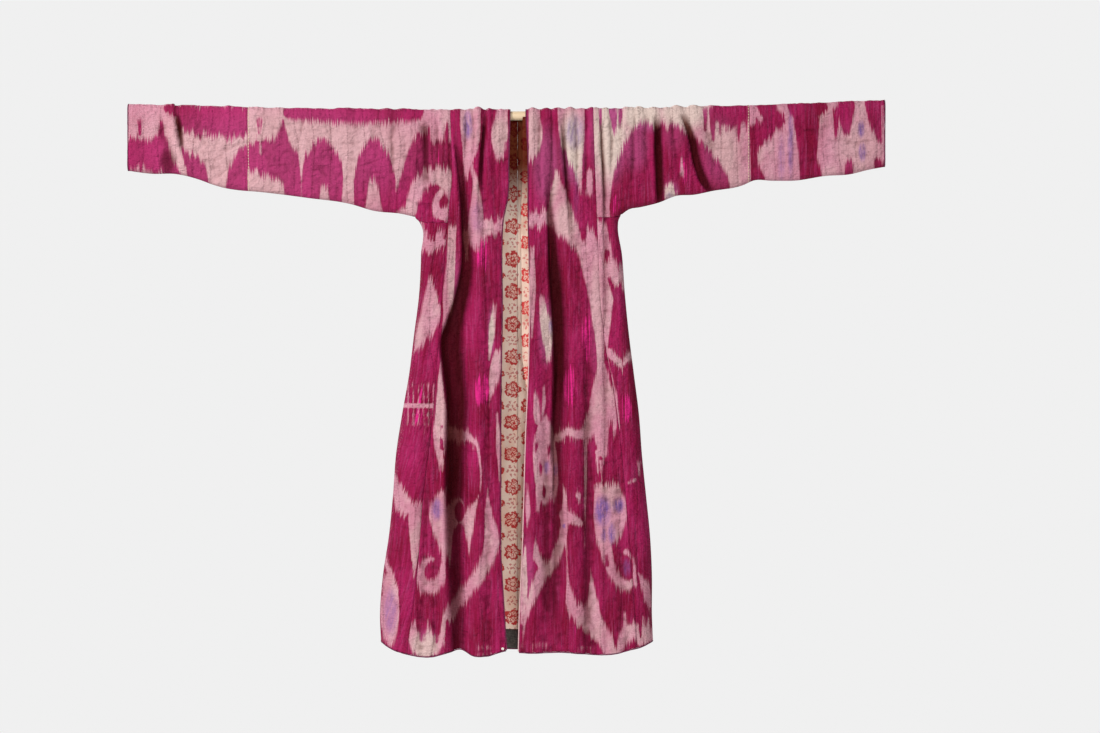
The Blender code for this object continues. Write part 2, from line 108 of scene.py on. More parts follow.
# z, inner edge of the left front, inner edge of the right front, free edge of the right facing
FRONT_EDGES = (
    (-1161, -21.8, 1.1, -4.0), (-1053, -28.3, 4.4, 0.0), (-966, -33.7, 8.7, 3.0),
    (-868, -34.8, 12.0, 5.5), (-683, -34.8, 17.4, 8.0), (-563, -33.7, 22.8, 10.0),
    (-400, -31.5, 25.0, 9.5), (-291, -32.6, 23.9, 8.2), (-226, -29.4, 22.4, 8.2),
    (-183, -20.7, 22.2, 9.2), (-96, -17.4, 22.2, 11.0), (0, -15.2, 17.4, 11.5),
)

# x, z of the hem in front and behind
FRONT_HEM = (
    (-299, -1141), (-286, -1149), (-273, -1157), (-247, -1166), (-186, -1174), (-147, -1164),
    (-121, -1159), (-95, -1171), (-68, -1172), (-23, -1161), (10, -1165), (101, -1164),
    (192, -1169), (219, -1166), (245, -1159), (266, -1154), (279, -1148), (295, -1141),
)
BACK_HEM = (
    (-299, -1141), (-270, -1152), (-220, -1161), (-110, -1158), (0, -1163), (120, -1159),
    (230, -1160), (270, -1151), (295, -1141),
)

# x, z of the sleeves' lower line
SLEEVE_LOW = {
    "left": (
        (-850, -119), (-795, -126), (-743, -126.5), (-691, -139), (-664, -149), (-636, -157),
        (-612, -161), (-560, -165.5), (-456, -178.5), (-364, -191.5), (-312, -206.5),
        (-250, -213.5), (-223, -219.7),
    ),
    "right": (
        (226, -214.5), (240, -204.5), (268, -198.5), (306, -189), (345, -174), (384, -171.5),
        (423, -163.5), (488, -151.5), (514, -140.5), (554, -141), (606, -140.5), (671, -130.5),
        (723, -127), (762, -117.5), (800, -110.5),
    ),
}

# Gathers bunched on the rod: x on the rod, x where it dies out in front, x behind, z there, width, height
GATHERS = (
    (-752, -764, -756, -140, 18, 3.5), (-712, -694, -704, -150, 22, 3.0),
    (-560, -548, -566, -150, 26, 2.0), (-430, -446, -424, -170, 24, 2.5),
    (-283, -306, -296, -205, 14, 4.0), (-250, -262, -255, -190, 9, 3.0),
    (-219, -226, -222, -225, 9, 4.5), (-200, -205, -204, -215, 7, 3.5),
    (-184, -185, -188, -226, 8, 5.0), (-165, -168, -164, -210, 7, 4.0),
    (-125, -129, -118, -300, 11, 8.0), (-104, -104, -100, -230, 6, 4.0),
    (-88, -80, -84, -560, 11, 8.0), (-62, -58, -66, -430, 8, 5.0),
    (-38, -42, -44, -300, 8, 4.0), (36, 40, 34, -330, 9, 4.0),
    (62, 56, 60, -280, 9, 5.0), (88, 96, 92, -260, 8, 4.0),
    (114, 116, 110, -520, 13, 8.0), (140, 140, 144, -230, 8, 5.0),
    (158, 160, 156, -225, 7, 5.0), (192, 190, 194, -215, 9, 5.0),
    (213, 210, 216, -205, 7, 4.0), (234, 228, 236, -205, 10, 6.0),
    (266, 262, 264, -200, 9, 4.5), (295, 302, 298, -190, 12, 8.0),
    (322, 340, 328, -180, 9, 5.0), (346, 376, 358, -172, 13, 8.5),
    (384, 424, 396, -166, 15, 6.0), (450, 470, 462, -150, 22, 3.0),
    (560, 552, 572, -130, 26, 2.0), (690, 702, 684, -120, 26, 2.0),
)

# Long folds of the skirt: x at the top, x at the foot, z of the top, z of the foot, width, height
FRONT_FOLDS = (
    (-134, -124, -60, -1300, 21, -13), (-84, -84, -330, -1300, 16, 11),
    (-153, -160, -480, -1300, 10, 7), (-52, -48, -560, -1300, 16, 5),
    (-205, -262, -620, -1300, 18, 5), (-190, -214, -560, -1300, 10, -3),
    (68, 66, -160, -1120, 18, -11), (112, 128, -300, -1300, 22, 9),
    (36, 34, -420, -1300, 14, 5), (150, 146, -450, -1300, 12, -5),
    (186, 196, -560, -1300, 18, 6), (226, 262, -560, -1300, 15, 4),
)
BACK_FOLDS = (
    (-152, -182, -180, -1300, 24, 9), (-112, -118, -260, -1300, 22, -9),
    (-66, -62, -120, -1300, 20, 8), (-8, -6, -300, -1300, 24, -8),
    (46, 52, -140, -1300, 20, 9), (96, 104, -240, -1300, 22, -9),
    (142, 166, -160, -1300, 24, 9), (-204, -256, -520, -1300, 20, 4),
    (212, 252, -520, -1300, 18, 4),
)
FOLD_FADE = 90.0

# Finer gathers between the large ones, with the same columns as GATHERS
FINE_GATHERS = (
    (-820, -823, -818, -90, 6, 0.9), (-795, -801, -792, -110, 7, 1.3), (-772, -786, -776, -120, 6, -1.6),
    (-735, -741, -738, -130, 6, 1.4), (-668, -662, -664, -130, 9, 1.1), (-628, -634, -630, -90, 7, 1.0),
    (-604, -600, -606, -120, 8, 1.1), (-520, -526, -518, -150, 9, 1.2), (-486, -478, -488, -130, 7, 1.0),
    (-458, -464, -452, -160, 8, 1.3), (-396, -388, -398, -150, 8, 1.3), (-366, -374, -362, -180, 8, 1.4),
    (-340, -334, -344, -150, 7, 1.4), (-318, -330, -322, -190, 7, 1.8), (-268, -278, -270, -180, 5, -2.4),
    (-236, -244, -240, -150, 5, 2.2), (-209, -214, -212, -190, 4, -2.4), (-192, -195, -196, -160, 4, -2.6),
    (-174, -176, -176, -200, 4, -2.8), (-155, -150, -152, -240, 4, 2.6), (-145, -144, -146, -330, 4, -3.0),
    (-134, -138, -130, -180, 4, 2.6), (-115, -115, -110, -260, 4, -3.2), (-97, -94, -94, -200, 4, -2.8),
    (-75, -70, -76, -300, 4, -2.4), (-50, -47, -54, -220, 4, 2.2), (-30, -34, -34, -180, 4, -1.6),
    (29, 33, 28, -200, 4, 1.8), (48, 46, 46, -240, 5, -2.2), (75, 77, 76, -330, 5, -2.6),
    (101, 106, 102, -200, 4, -2.4), (127, 128, 126, -260, 5, -2.8), (149, 149, 150, -210, 4, -2.6),
    (172, 172, 172, -190, 4, 2.4), (182, 180, 184, -160, 4, -2.2), (203, 201, 206, -170, 4, -2.6),
    (223, 219, 226, -180, 4, -2.8), (246, 241, 248, -150, 4, 2.2), (256, 250, 256, -190, 4, -2.6),
    (280, 281, 280, -170, 5, -3.0), (309, 318, 312, -185, 5, -4.5), (333, 356, 342, -170, 5, -3.2),
    (366, 398, 376, -165, 5, -4.2), (401, 440, 414, -150, 6, -2.2), (420, 452, 432, -130, 6, 1.5),
    (474, 490, 480, -130, 7, 1.3), (532, 528, 540, -110, 7, 1.1), (592, 588, 596, -110, 8, 1.1),
    (622, 630, 618, -120, 7, 1.0), (655, 660, 652, -95, 8, 1.1), (726, 732, 722, -100, 8, 1.1),
    (764, 768, 760, -90, 7, 0.9),
)

# Folds that lie over to one side: z, x of the edge, drop beside it, width of the hollow to its right
PLEATS = {
    FRONT: (
        ((-1175, -140, 8, 34), (-1050, -146, 12, 40), (-950, -151, 17, 48), (-850, -154, 22, 54),
         (-700, -153, 26, 58), (-620, -152, 28, 60), (-550, -160, 28, 60), (-480, -163, 27, 58),
         (-440, -150, 24, 50), (-390, -134, 21, 44), (-330, -122, 17, 38), (-240, -122, 11, 30),
         (-150, -128, 8, 24), (-60, -138, 5, 18), (0, -140, 0, 14)),
        ((-1120, 78, 0, 30), (-950, 79, 7, 34), (-800, 78, 10, 38), (-700, 74, 14, 42), (-560, 79, 19, 44),
         (-450, 76, 20, 44), (-330, 68, 17, 38), (-250, 65, 10, 28), (-180, 62, 5, 20), (-100, 60, 0, 16)),
        ((-218, 303, 0, 22), (-180, 302, 9, 26), (-120, 299, 12, 26), (-60, 297, 12, 24),
         (-15, 296, 7, 22), (5, 296, 0, 20)),
        ((-178, 428, 0, 26), (-160, 408, 9, 30), (-110, 384, 13, 28), (-50, 371, 12, 26),
         (-10, 358, 7, 20), (5, 352, 0, 18)),
        ((-95, -731, 0, 14), (-50, -736, 8, 16), (-10, -743, 9, 18), (5, -745, 4, 14)),
        ((-200, -206, 0, 16), (-120, -206, 3, 18), (-20, -207, 4, 14), (5, -207, 0, 12)),
        ((-230, 186, 3, 18), (-150, 184, 7, 16), (-60, 180, 6, 14), (5, 178, 0, 12)),
        ((-300, -84, 0, 14), (-160, -86, 5, 16), (-60, -80, 8, 15), (5, -72, 3, 10)),
        ((-320, 118, 0, 20), (-200, 108, 6, 18), (-90, 98, 7, 16), (5, 92, 0, 12)),
    ),
    BACK: (
        ((-1175, -92, 9, 40), (-900, -94, 16, 48), (-600, -97, 18, 48), (-350, -102, 12, 36),
         (-150, -105, 6, 24), (-30, -106, 0, 16)),
        ((-1175, 56, 7, 36), (-850, 54, 14, 44), (-500, 50, 15, 42), (-250, 46, 8, 28), (-40, 44, 0, 16)),
        ((-1175, 168, 5, 30), (-900, 160, 10, 36), (-600, 148, 10, 36), (-300, 138, 5, 26),
         (-60, 134, 0, 16)),
        ((-215, 330, 0, 22), (-140, 322, 8, 24), (-60, 314, 9, 22), (5, 308, 0, 18)),
        ((-205, -300, 0, 22), (-130, -292, 6, 24), (-50, -286, 7, 20), (5, -284, 0, 18)),
        ((-140, -748, 0, 16), (-70, -742, 5, 18), (5, -740, 2, 14)),
    ),
}

# Creases, listed one by one: x and z of both ends, width, height (a trough where it is less than 0)
CREASES = {
    FRONT: (
        (-760, 10, -714, -132, 9, 6.0), (-778, -10, -736, -136, 12, -6.0), (-655, -136, -624, -112, 3, -1.6),
        (-626, -72, -588, -54, 3, -1.4), (-700, -30, -672, -70, 4, -1.2), (-812, -92, -756, -84, 4, -1.4),
        (-836, -60, -806, -66, 4, -1.0), (-744, -96, -716, -104, 4, 1.6), (-668, -90, -640, -60, 4, 1.2),
        (-556, -112, -486, -104, 3, -1.6), (-560, -60, -520, -84, 4, 1.2), (-532, -30, -500, -24, 3, -1.0),
        (-430, -80, -380, -67, 3, -1.8), (-412, -62, -338, -59, 3, -1.3), (-350, -113, -268, -84, 3, -2.0),
        (-345, -122, -283, -125, 3, -1.8), (-328, -136, -268, -133, 3, -1.6),
        (-470, -140, -430, -126, 3, -1.4),
        (-452, -118, -420, -132, 4, 1.2), (-398, -150, -366, -120, 4, 1.2), (-300, -60, -262, -40, 4, -1.4),
        (-282, -160, -236, -150, 4, -1.4), (-250, -120, -214, -136, 4, 1.4),
        (-244, -182, -204, -196, 4, -1.4),
        (-180, -252, -160, -250, 3, -2.0), (-70, -20, -88, -96, 5, -2.6), (-58, -60, -72, -150, 5, 1.8),
        (-118, -440, -86, -520, 5, -1.8), (-104, -470, -78, -560, 5, 1.6), (-96, -560, -70, -610, 4, -1.4),
        (-60, -560, -44, -640, 4, 1.3), (-250, -560, -214, -600, 5, -1.6), (-236, -640, -196, -660, 5, -1.4),
        (-262, -700, -216, -736, 5, -1.6), (-240, -760, -204, -742, 5, 1.4),
        (-276, -880, -222, -900, 5, -1.8),
        (-282, -960, -240, -1010, 6, 1.8), (-276, -1040, -238, -1090, 6, -1.8),
        (-214, -1020, -168, -1064, 5, -1.6),
        (-204, -1090, -160, -1120, 5, -1.8), (-188, -1130, -150, -1080, 5, 1.6),
        (-96, -1030, -52, -1070, 5, -1.6),
        (-88, -1090, -44, -1060, 5, 1.6), (-80, -1130, -40, -1112, 4, -1.4), (-66, -880, -44, -930, 4, -1.4),
        (-104, -700, -84, -780, 5, 1.6), (-110, -800, -90, -850, 5, -1.4), (-190, -800, -170, -870, 5, -1.6),
        (97, -348, 127, -419, 5, -2.4), (109, -376, 127, -443, 4, 1.6), (100, -376, 115, -443, 4, -1.8),
        (127, -420, 120, -500, 5, -1.8), (140, -440, 134, -540, 6, 1.6), (150, -470, 176, -472, 4, -1.2),
        (96, -560, 130, -620, 5, 1.5), (104, -620, 140, -640, 4, -1.6), (30, -420, 62, -440, 4, -1.2),
        (36, -520, 70, -540, 4, -1.4), (28, -620, 60, -660, 4, 1.4), (34, -700, 80, -720, 4, -1.4),
        (95, -790, 104, -950, 4, -2.2), (110, -700, 134, -770, 5, -1.4),
        (160, -700, 210, -726, 5, -1.5), (170, -820, 214, -846, 5, -1.4), (188, -880, 226, -870, 5, 1.4),
        (60, -860, 92, -900, 5, -1.4), (24, -930, 70, -968, 5, -1.5), (40, -1010, 76, -1090, 5, -1.6),
        (90, -1010, 110, -1120, 6, 1.8), (124, -1020, 150, -1070, 5, -1.6), (180, -1000, 206, -1080, 6, 1.6),
        (220, -1010, 262, -1050, 5, -1.6), (232, -1080, 276, -1120, 5, 1.6), (256, -560, 224, -600, 5, -1.4),
        (262, -700, 232, -760, 5, 1.5), (278, -860, 244, -900, 5, -1.5), (317, -112, 349, -115, 3, -1.8),
        (330, -84, 362, -96, 4, -1.6), (340, -104, 330, -66, 4, 1.6), (214, -160, 290, -150, 4, -1.2),
        (228, -100, 284, -92, 4, -1.0), (400, -66, 470, -60, 3, -1.2), (430, -96, 486, -104, 3, -1.2),
        (448, -122, 498, -126, 4, 1.2), (520, -64, 560, -60, 3, -1.0), (560, -88, 616, -84, 3, -1.0),
        (604, -34, 656, -30, 3, -1.2), (650, -58, 716, -52, 3, -1.2), (668, -88, 730, -86, 3, -1.0),
        (724, -60, 786, -50, 4, -1.0), (548, -118, 610, -122, 4, 1.0), (700, -104, 752, -98, 4, 1.0),
    ),
    BACK: (
        (-760, -20, -716, -110, 8, 3.0), (-690, -60, -640, -90, 4, -1.6), (-600, -80, -556, -70, 4, -1.4),
        (-540, -120, -480, -104, 4, -1.6), (-430, -70, -370, -84, 4, -1.5), (-350, -140, -290, -120, 4, -1.7),
        (-250, -100, -214, -140, 5, 1.6), (-220, -420, -180, -470, 5, -1.6),
        (-200, -600, -150, -640, 5, -1.6),
        (-240, -760, -190, -800, 6, 1.6), (-260, -980, -200, -1030, 6, -1.8),
        (-150, -300, -110, -340, 5, -1.4),
        (-140, -900, -90, -950, 6, 1.6), (-60, -480, -20, -530, 5, -1.6), (-50, -760, -10, -800, 6, 1.5),
        (-70, -1040, -20, -1090, 6, -1.8), (20, -360, 60, -400, 5, -1.6), (30, -640, 80, -690, 6, 1.5),
        (40, -900, 90, -940, 6, -1.6), (100, -480, 150, -520, 5, -1.6), (120, -760, 170, -800, 6, 1.6),
        (130, -1030, 190, -1080, 6, -1.8), (190, -560, 230, -600, 5, -1.5), (200, -860, 250, -900, 6, 1.5),
        (210, -150, 270, -130, 4, -1.5), (330, -90, 390, -110, 4, -1.5), (420, -60, 480, -76, 4, -1.2),
        (540, -90, 600, -80, 4, -1.2), (620, -50, 680, -66, 4, -1.2), (700, -90, 760, -80, 4, -1.2),
    ),
}

DARK, PALE = 1.0, -1.0
REACH = 3.0             # how far a motif is felt, in centimetres
STRETCH = 1.25          # motifs are longer along the warp
FEATHER = 1.9           # how far threads slip along the warp, in centimetres
PALE_TRIM = 0.42        # pale shapes are this much slimmer towards the hem
TRIM_FROM = -22.0
TRIM_FADE = 34.0


def comb(dye, first_x, last_x, count, top_z, foot_z, radius):
    """Thin warp streaks side by side."""
    gap = (last_x - first_x) / (count - 1)
    return tuple(
        (dye, (first_x + gap * n, top_z, radius), (first_x + gap * n, foot_z, radius)) for n in range(count)
    )


# Dye motifs of each cloth in painting order, in centimetres. A row is a dye and a chain of round spots
# (x, z, radius) joined by a smooth line, or one oval (x, z, half width, half height).
IKAT = {
    "front_left": (DARK, (
        (PALE, (-10.3, 1, 2.2), (-10.2, -5, 2.0), (-10.7, -9.4, 1.1), (-11.2, -14, 0.2)),
        (PALE, (-3.3, 1, 1.1), (-3.9, -4.5, 1.8), (-3.9, -8.5, 0.9)),
        (DARK, (-2.2, -6.2, 0.6), (-2.4, -8, 0.3)),
        (PALE, (-10.2, -10, 0.3), (-9.2, -14, 0.5), (-8.9, -18, 1.0), (-8.8, -23, 1.7), (-8.8, -26.5, 2.2)),
        (PALE, (-8.6, -24, 1.4), (-6, -24.4, 1.3), (-3, -23.4, 1.1), (-1, -23.2, 0.8)),
        (DARK, (-5.1, -16.6, 2.6, 6.2)),
        (PALE, (-11.3, -26, 0.7), (-11.1, -31, 0.2)),
        (DARK, (-7.3, -47, 4.2, 20)),
        (PALE, (-14.2, -25, 0.9), (-14.4, -31, 1.0), (-15, -39, 1.35), (-15.6, -44, 0.8), (-16.9, -49, 0.25),
         (-16.7, -54, 0.5), (-16.7, -58, 0.9), (-16.6, -64, 1.5), (-16.8, -70, 1.8), (-16.5, -77, 0.4)),
        (DARK, (-16.3, -67.5, 0.3), (-16.3, -72, 0.5)),
        (PALE, (-5, -41.5, 0.6), (-5.5, -46, 0.95), (-6.1, -53, 0.5)),
        (PALE, (-4.3, -51.8, 1.2), (-4.9, -56, 1.6), (-5.8, -61, 0.7), (-6.3, -65, 0.2)),
        (PALE, (-15.5, -69, 1.6), (-12, -69.5, 1.4), (-8.8, -71.2, 0.8), (-7.9, -78, 0.6),
         (-8.5, -83, 0.5), (-10.2, -87, 1.5), (-10.3, -92, 0.9), (-10.5, -96.5, 0.2)),
        (PALE, (-12.9, -86.5, 2.2, 4.4)),
        (PALE, (-14.6, -85.5, 1.3), (-15, -92, 1.2), (-14.6, -98, 0.4)),
        (DARK, (-12.5, -86, 1.2, 2.2)),
        (DARK, (-12.4, -91, 1.3, 2.4)),
        (PALE, (-4.4, -65, 0.4), (-4.0, -72, 0.9), (-3.8, -79, 0.4)),
        (PALE, (-6.5, -81, 0.3), (-6.2, -87, 1.3), (-5.6, -92.5, 2.1), (-7.6, -98.5, 1.6),
         (-11.4, -103.8, 1.5), (-14.8, -108, 1.6)),
        (PALE, (-15.7, -80.8, 0.5), (-16.8, -83.6, 1.6), (-17.3, -86.6, 2.2), (-16.8, -90, 1.8),
         (-16.1, -94, 1.0), (-15.8, -98.2, 0.5)),
        (PALE, (-16, -97.6, 0.8), (-16.6, -100.4, 1.3), (-18.2, -102.2, 1.5), (-20.2, -102, 1.5),
         (-21, -99.8, 1.3), (-20.4, -97.6, 1.0), (-19.2, -96.4, 0.9), (-18.2, -96.2, 0.8)),
        (PALE, (-22.8, -112.6, 1.5), (-20, -115.5, 2.4), (-17, -114, 1.6)),
        (PALE, (-22.4, -109.4, 0.5), (-22.4, -112, 1.3)),
        (PALE, (-19.4, -109.6, 0.3), (-19.2, -113, 1.2)),
        (PALE, (-15.7, -107, 0.4), (-16.2, -112.6, 0.8)),
        (DARK, (-20.8, -108, 0.5), (-20.6, -113.4, 0.5)),
        (DARK, (-17.6, -108, 0.6), (-17.4, -114, 0.3)),
        (PALE, (-22.6, -103, 0.15), (-23.4, -112, 0.4)),
    ) + comb(PALE, -8.4, -5.6, 4, -115.2, -117, 0.07)),
    "front_right": (DARK, (
        (PALE, (3.6, 1, 1.1), (4.0, -4, 1.5), (3.7, -7, 1.2), (2.8, -9.6, 0.4)),
        (PALE, (11.6, 1.5, 2.9), (11.8, -4, 2.7), (12.3, -9, 1.8), (13.2, -14.5, 0.8), (13.6, -17, 0.2)),
        (PALE, (15.7, -12.5, 0.6), (15.6, -16.5, 0.7)),
        (PALE, (8.6, -12.5, 0.3), (8.8, -17, 1.6), (9.6, -21.6, 2.6), (12.6, -25.6, 2.3), (15.4, -29, 2.5),
         (17.2, -38, 2.2), (17.8, -46, 1.6), (18, -54, 1.1), (17.6, -62, 2.2)),
        (DARK, (10, -8, 0.6), (11.6, -14, 1.1), (13, -20, 1.2), (14.3, -26, 0.7)),
        (PALE, (2.5, -22.6, 1.2), (7, -22.4, 1.2), (11, -23, 1.4)),
        (DARK, (8.6, -29, 2.6), (9.8, -38, 4.2), (10.9, -50, 5.2), (10.3, -60, 4.8), (9, -67, 2.0)),
        (PALE, (3.2, -29, 0.3), (3.3, -38, 0.8), (3.2, -48, 0.3)),
        (PALE, (5.2, -40, 0.7), (6.2, -46, 1.6), (6.8, -53, 0.8)),
        (PALE, (3.7, -58.6, 0.3), (4.0, -61.5, 0.8), (4.2, -65.6, 0.9), (4.4, -67.5, 0.2)),
        (PALE, (5.6, -59.4, 0.3), (5.7, -62, 0.6), (5.2, -66, 0.3)),
        (PALE, (6.2, -64.5, 0.4), (5.8, -70, 2.5), (6.2, -77, 3.1), (6.6, -82, 2.3), (7.2, -87, 0.6)),
        (PALE, (4.6, -81, 1.0), (4.4, -85.6, 0.6)),
        (DARK, (5.0, -76.2, 0.4, 1.5)),
        (DARK, (6.8, -72.6, 0.35, 1.3)),
        (DARK, (4.1, -72, 0.4, 1.1)),
        (DARK, (5.7, -81.5, 0.45, 1.6)),
        (PALE, (2.2, -80, 0.3), (2.3, -86, 0.8), (2.2, -89, 0.2)),
        (PALE, (8.8, -70, 1.1), (11, -68.6, 1.1), (14, -69.2, 1.3), (17, -66, 2.4), (18.8, -60, 2.4)),
        (PALE, (18.6, -54.5, 0.9), (18.8, -60, 2.3), (18.9, -67, 3.0), (18.6, -73, 1.4)),
        (DARK, (20.2, -66.5, 0.4), (20.2, -76, 0.8)),
        (PALE, (17.2, -73, 0.5), (17.5, -77.5, 0.25)),
        (PALE, (18.1, -75, 0.4), (18.4, -80, 0.15)),
        (DARK, (12.2, -78, 2.4, 7.4)),
        (PALE, (14.8, -67, 0.6), (14.7, -80, 0.5), (14.6, -90, 0.3), (14.4, -98, 0.2)),
        (PALE, (9.6, -79, 0.2), (10.4, -83, 0.8), (10, -90, 1.4), (8.2, -96, 1.5), (5, -100, 1.6),
         (3, -105, 1.1), (1.6, -110, 0.7), (1, -115, 0.4)),
        (DARK, (7.3, -83.5, 0.4), (6.9, -89, 2.6), (6.4, -97, 0.3)),
        (PALE, (3.6, -91, 0.3), (4.2, -95.5, 1.0), (6.0, -99, 1.0)),
        (PALE, (1.6, -94, 0.7), (1.4, -103, 1.2), (1, -110, 0.6)),
        (PALE, (13.1, -82.5, 0.8), (13.4, -84, 0.5)),
        (PALE, (10.2, -86.8, 1.5), (13.4, -88.4, 1.1)),
        (DARK, (12.6, -91, 1.0), (13.1, -97, 2.2), (13.7, -105, 0.4)),
        (PALE, (10.8, -91, 0.5), (11, -101, 0.7), (12, -106.5, 1.7), (15.6, -109.6, 2.3),
         (18.6, -113, 2.1), (20.6, -117, 1.6)),
        (PALE, (15.9, -98, 0.25), (16.2, -104, 1.2), (16.4, -109, 2.2)),
        (PALE, (20.1, -86.4, 4.0, 7.2)),
        (PALE, (17.6, -80.6, 1.3), (17.8, -86, 1.5), (18.6, -91, 1.9), (19.6, -96, 1.5), (20.8, -99.4, 1.3),
         (23.2, -101.8, 1.3), (25.4, -100.6, 0.9), (25.4, -98, 0.7), (24.6, -95.6, 0.8), (23.4, -94.6, 0.9)),
        (DARK, (21.4, -93.6, 0.5), (21.6, -97, 0.6)),
        (DARK, (19.4, -95.6, 0.4), (19.5, -97.4, 0.4)),
        (PALE, (22, -116, 1.0), (23.4, -112.5, 1.7), (25.6, -111.5, 1.8)),
        (PALE, (23.4, -108.2, 0.5), (23.4, -112, 0.8)),
    ) + comb(PALE, 3.4, 6.2, 4, -114.6, -117, 0.07) + comb(PALE, 13, 16.6, 6, -115.2, -117, 0.07)),
    "gore_left": (DARK, (
        (PALE, (-21.5, -25.5, 1.6), (-19, -28, 1.3), (-16, -26.4, 1.2)),
        (PALE, (-22, -27.6, 0.8), (-18.6, -28.6, 0.9), (-15.6, -27, 0.8)),
        (DARK, (-19.3, -22, 0.4), (-19.3, -26.6, 0.3)),
        (DARK, (-18, -22, 0.5), (-18, -27, 0.3)),
        (DARK, (-15.9, -22, 0.8), (-15.9, -26.5, 0.3)),
        (PALE, (-19, -35, 0.3), (-18.8, -40, 1.8), (-18.9, -44, 2.4), (-20.8, -48, 1.5), (-22.6, -52, 0.3)),
        (DARK, (-21.6, -34, 0.5), (-21.6, -41, 0.2)),
        (PALE, (-24.5, -63, 0.6), (-17.5, -63, 0.6)),
        (PALE, (-27.3, -73.5, 0.5), (-26.9, -79, 1.3), (-24.5, -84.5, 2.2)),
        (PALE, (-22, -85.5, 2.0), (-22, -92, 1.6), (-22.5, -100, 0.4)),
        (DARK, (-25.6, -86.5, 0.5), (-25.6, -91, 2.0), (-25, -97, 1.4), (-24.3, -104, 0.7)),
        (PALE, (-27.6, -107, 2.5, 9.5)),
        (PALE, (-29.2, -95.5, 0.6), (-27.6, -99, 0.8)),
        (DARK, (-24.2, -97, 0.9), (-23.9, -105, 0.7), (-24.4, -113, 0.9)),
        (DARK, (-29.6, -98, 0.5), (-29.4, -104, 0.3)),
    ) + comb(PALE, -23.6, -18.2, 6, -58.5, -67, 0.16)),
    "gore_right": (DARK, (
        (PALE, (17.6, -25, 1.9), (18.2, -31, 2.6), (18.8, -37, 2.4), (18.8, -44, 1.8), (18.9, -52, 1.2),
         (19.3, -60, 2.4),
         (20, -66, 2.6), (20.4, -70.5, 1.8)),
        (PALE, (19.5, -32.5, 2.0), (21, -35.5, 1.6)),
        (PALE, (22.6, -33, 0.8), (23, -37, 0.5)),
        (DARK, (21.3, -25, 1.0), (21.4, -30.5, 0.8)),
        (DARK, (19.4, -30, 0.7), (19.4, -31.5, 0.5)),
        (DARK, (19.9, -35.5, 0.3), (21.2, -38.5, 0.8), (22.5, -40.5, 1.2)),
        (PALE, (20, -51.4, 1.0), (22.5, -53.8, 1.0), (25, -51.6, 0.9)),
        (PALE, (24.2, -79.8, 0.5), (25.4, -79, 0.4)),
        (PALE, (26.3, -75.5, 0.5), (26.2, -78, 0.2)),
        (PALE, (25.3, -96, 0.4), (25.4, -101.5, 0.6)),
        (PALE, (26, -99, 0.4), (27.6, -102, 1.2), (28.6, -107, 0.7), (28.8, -111, 0.3)),
        (PALE, (25.4, -112.4, 2.2), (28.2, -113, 2.0)),
        (PALE, (27.3, -108.8, 0.3), (27.3, -112, 0.4)),
        (PALE, (28.4, -108.8, 0.4), (28.2, -113, 1.3)),
        (DARK, (26.6, -109, 0.3), (26.6, -113, 0.2)),
        (DARK, (28.7, -107, 0.2), (28.6, -112, 0.2)),
    )),
    "sleeve_upper_left": (PALE, (
        (DARK, (-56, -1.3, 0.6), (-56, -3.8, 0.3)),
        (DARK, (-58.4, -8.4, 2.2), (-55, -9.2, 3.0), (-51.4, -9.6, 3.6), (-49.4, -12.6, 2.3),
         (-48.7, -17, 1.8)),
        (DARK, (-51, -1.2, 0.3), (-51, -5.5, 1.3)),
        (PALE, (-56, -1, 0.1), (-55.9, -8, 0.1)),
        (DARK, (-49.5, 0.9, 1.4), (-36, 0.6, 2.0), (-22, 0.9, 1.7)),
        (DARK, (-42.4, -7.4, 1.9), (-42.3, -12, 4.3), (-42.4, -18, 4.4)),
        (PALE, (-42, -15.6, 0.6), (-42, -19, 1.3)),
        (DARK, (-31.2, -7.6, 2.0), (-31, -13, 4.4), (-30.8, -20, 4.6)),
        (PALE, (-31.4, -15.8, 1.0), (-31.2, -21, 2.0)),
        (DARK, (-27.5, -19, 1.6), (-25, -17.5, 1.9), (-23, -12.5, 2.0), (-21.6, -8.6, 2.4), (-21, -5, 1.0)),
        (DARK, (-20.5, -9, 2.2), (-18, -8.8, 2.8), (-15, -9, 2.8)),
        (DARK, (-15.4, -2, 0.3), (-15.4, -8, 0.8)),
        (DARK, (-19.4, -3, 0.4), (-19.6, -7, 0.9)),
        (DARK, (-19.4, -20, 4.6, 5.5)),
        (PALE, (-23.4, -20.6, 1.2), (-21.6, -15.6, 1.4), (-18.4, -13, 1.3), (-15.4, -13.6, 1.4),
         (-13.8, -17.2, 1.1), (-14.6, -21, 1.1), (-17.2, -21.2, 0.9), (-17.7, -18.6, 0.7),
         (-16.4, -16.6, 0.6)),
    )),
    "sleeve_lower_left": (PALE, (
        (DARK, (-82, -1.4, 0.45), (-82, -4, 0.3)),
        (DARK, (-84, -9, 3.2), (-80, -9.2, 3.0), (-77, -8.6, 3.4), (-74.4, -10.4, 3.2)),
        (PALE, (-83.6, -13.4, 0.9), (-80.6, -13.2, 1.0)),
        (DARK, (-77.3, -1.6, 0.3), (-77.4, -6, 1.1)),
        (PALE, (-76.2, -1, 0.7), (-75.4, -3, 1.1), (-74.6, -5.5, 1.3), (-73.6, -9.6, 1.0),
         (-72.2, -12.6, 0.7)),
        (DARK, (-76, 1.6, 0.8), (-72, 0.6, 1.6)),
        (DARK, (-71.5, -0.6, 2.6), (-66, -1.2, 3.0), (-60, -1.2, 2.8)),
        (DARK, (-70.2, -10.4, 1.5), (-69.6, -12.8, 2.3), (-68.6, -16, 2.0)),
        (DARK, (-59.4, -8.4, 1.4), (-60.2, -12, 2.4), (-61, -17, 2.6)),
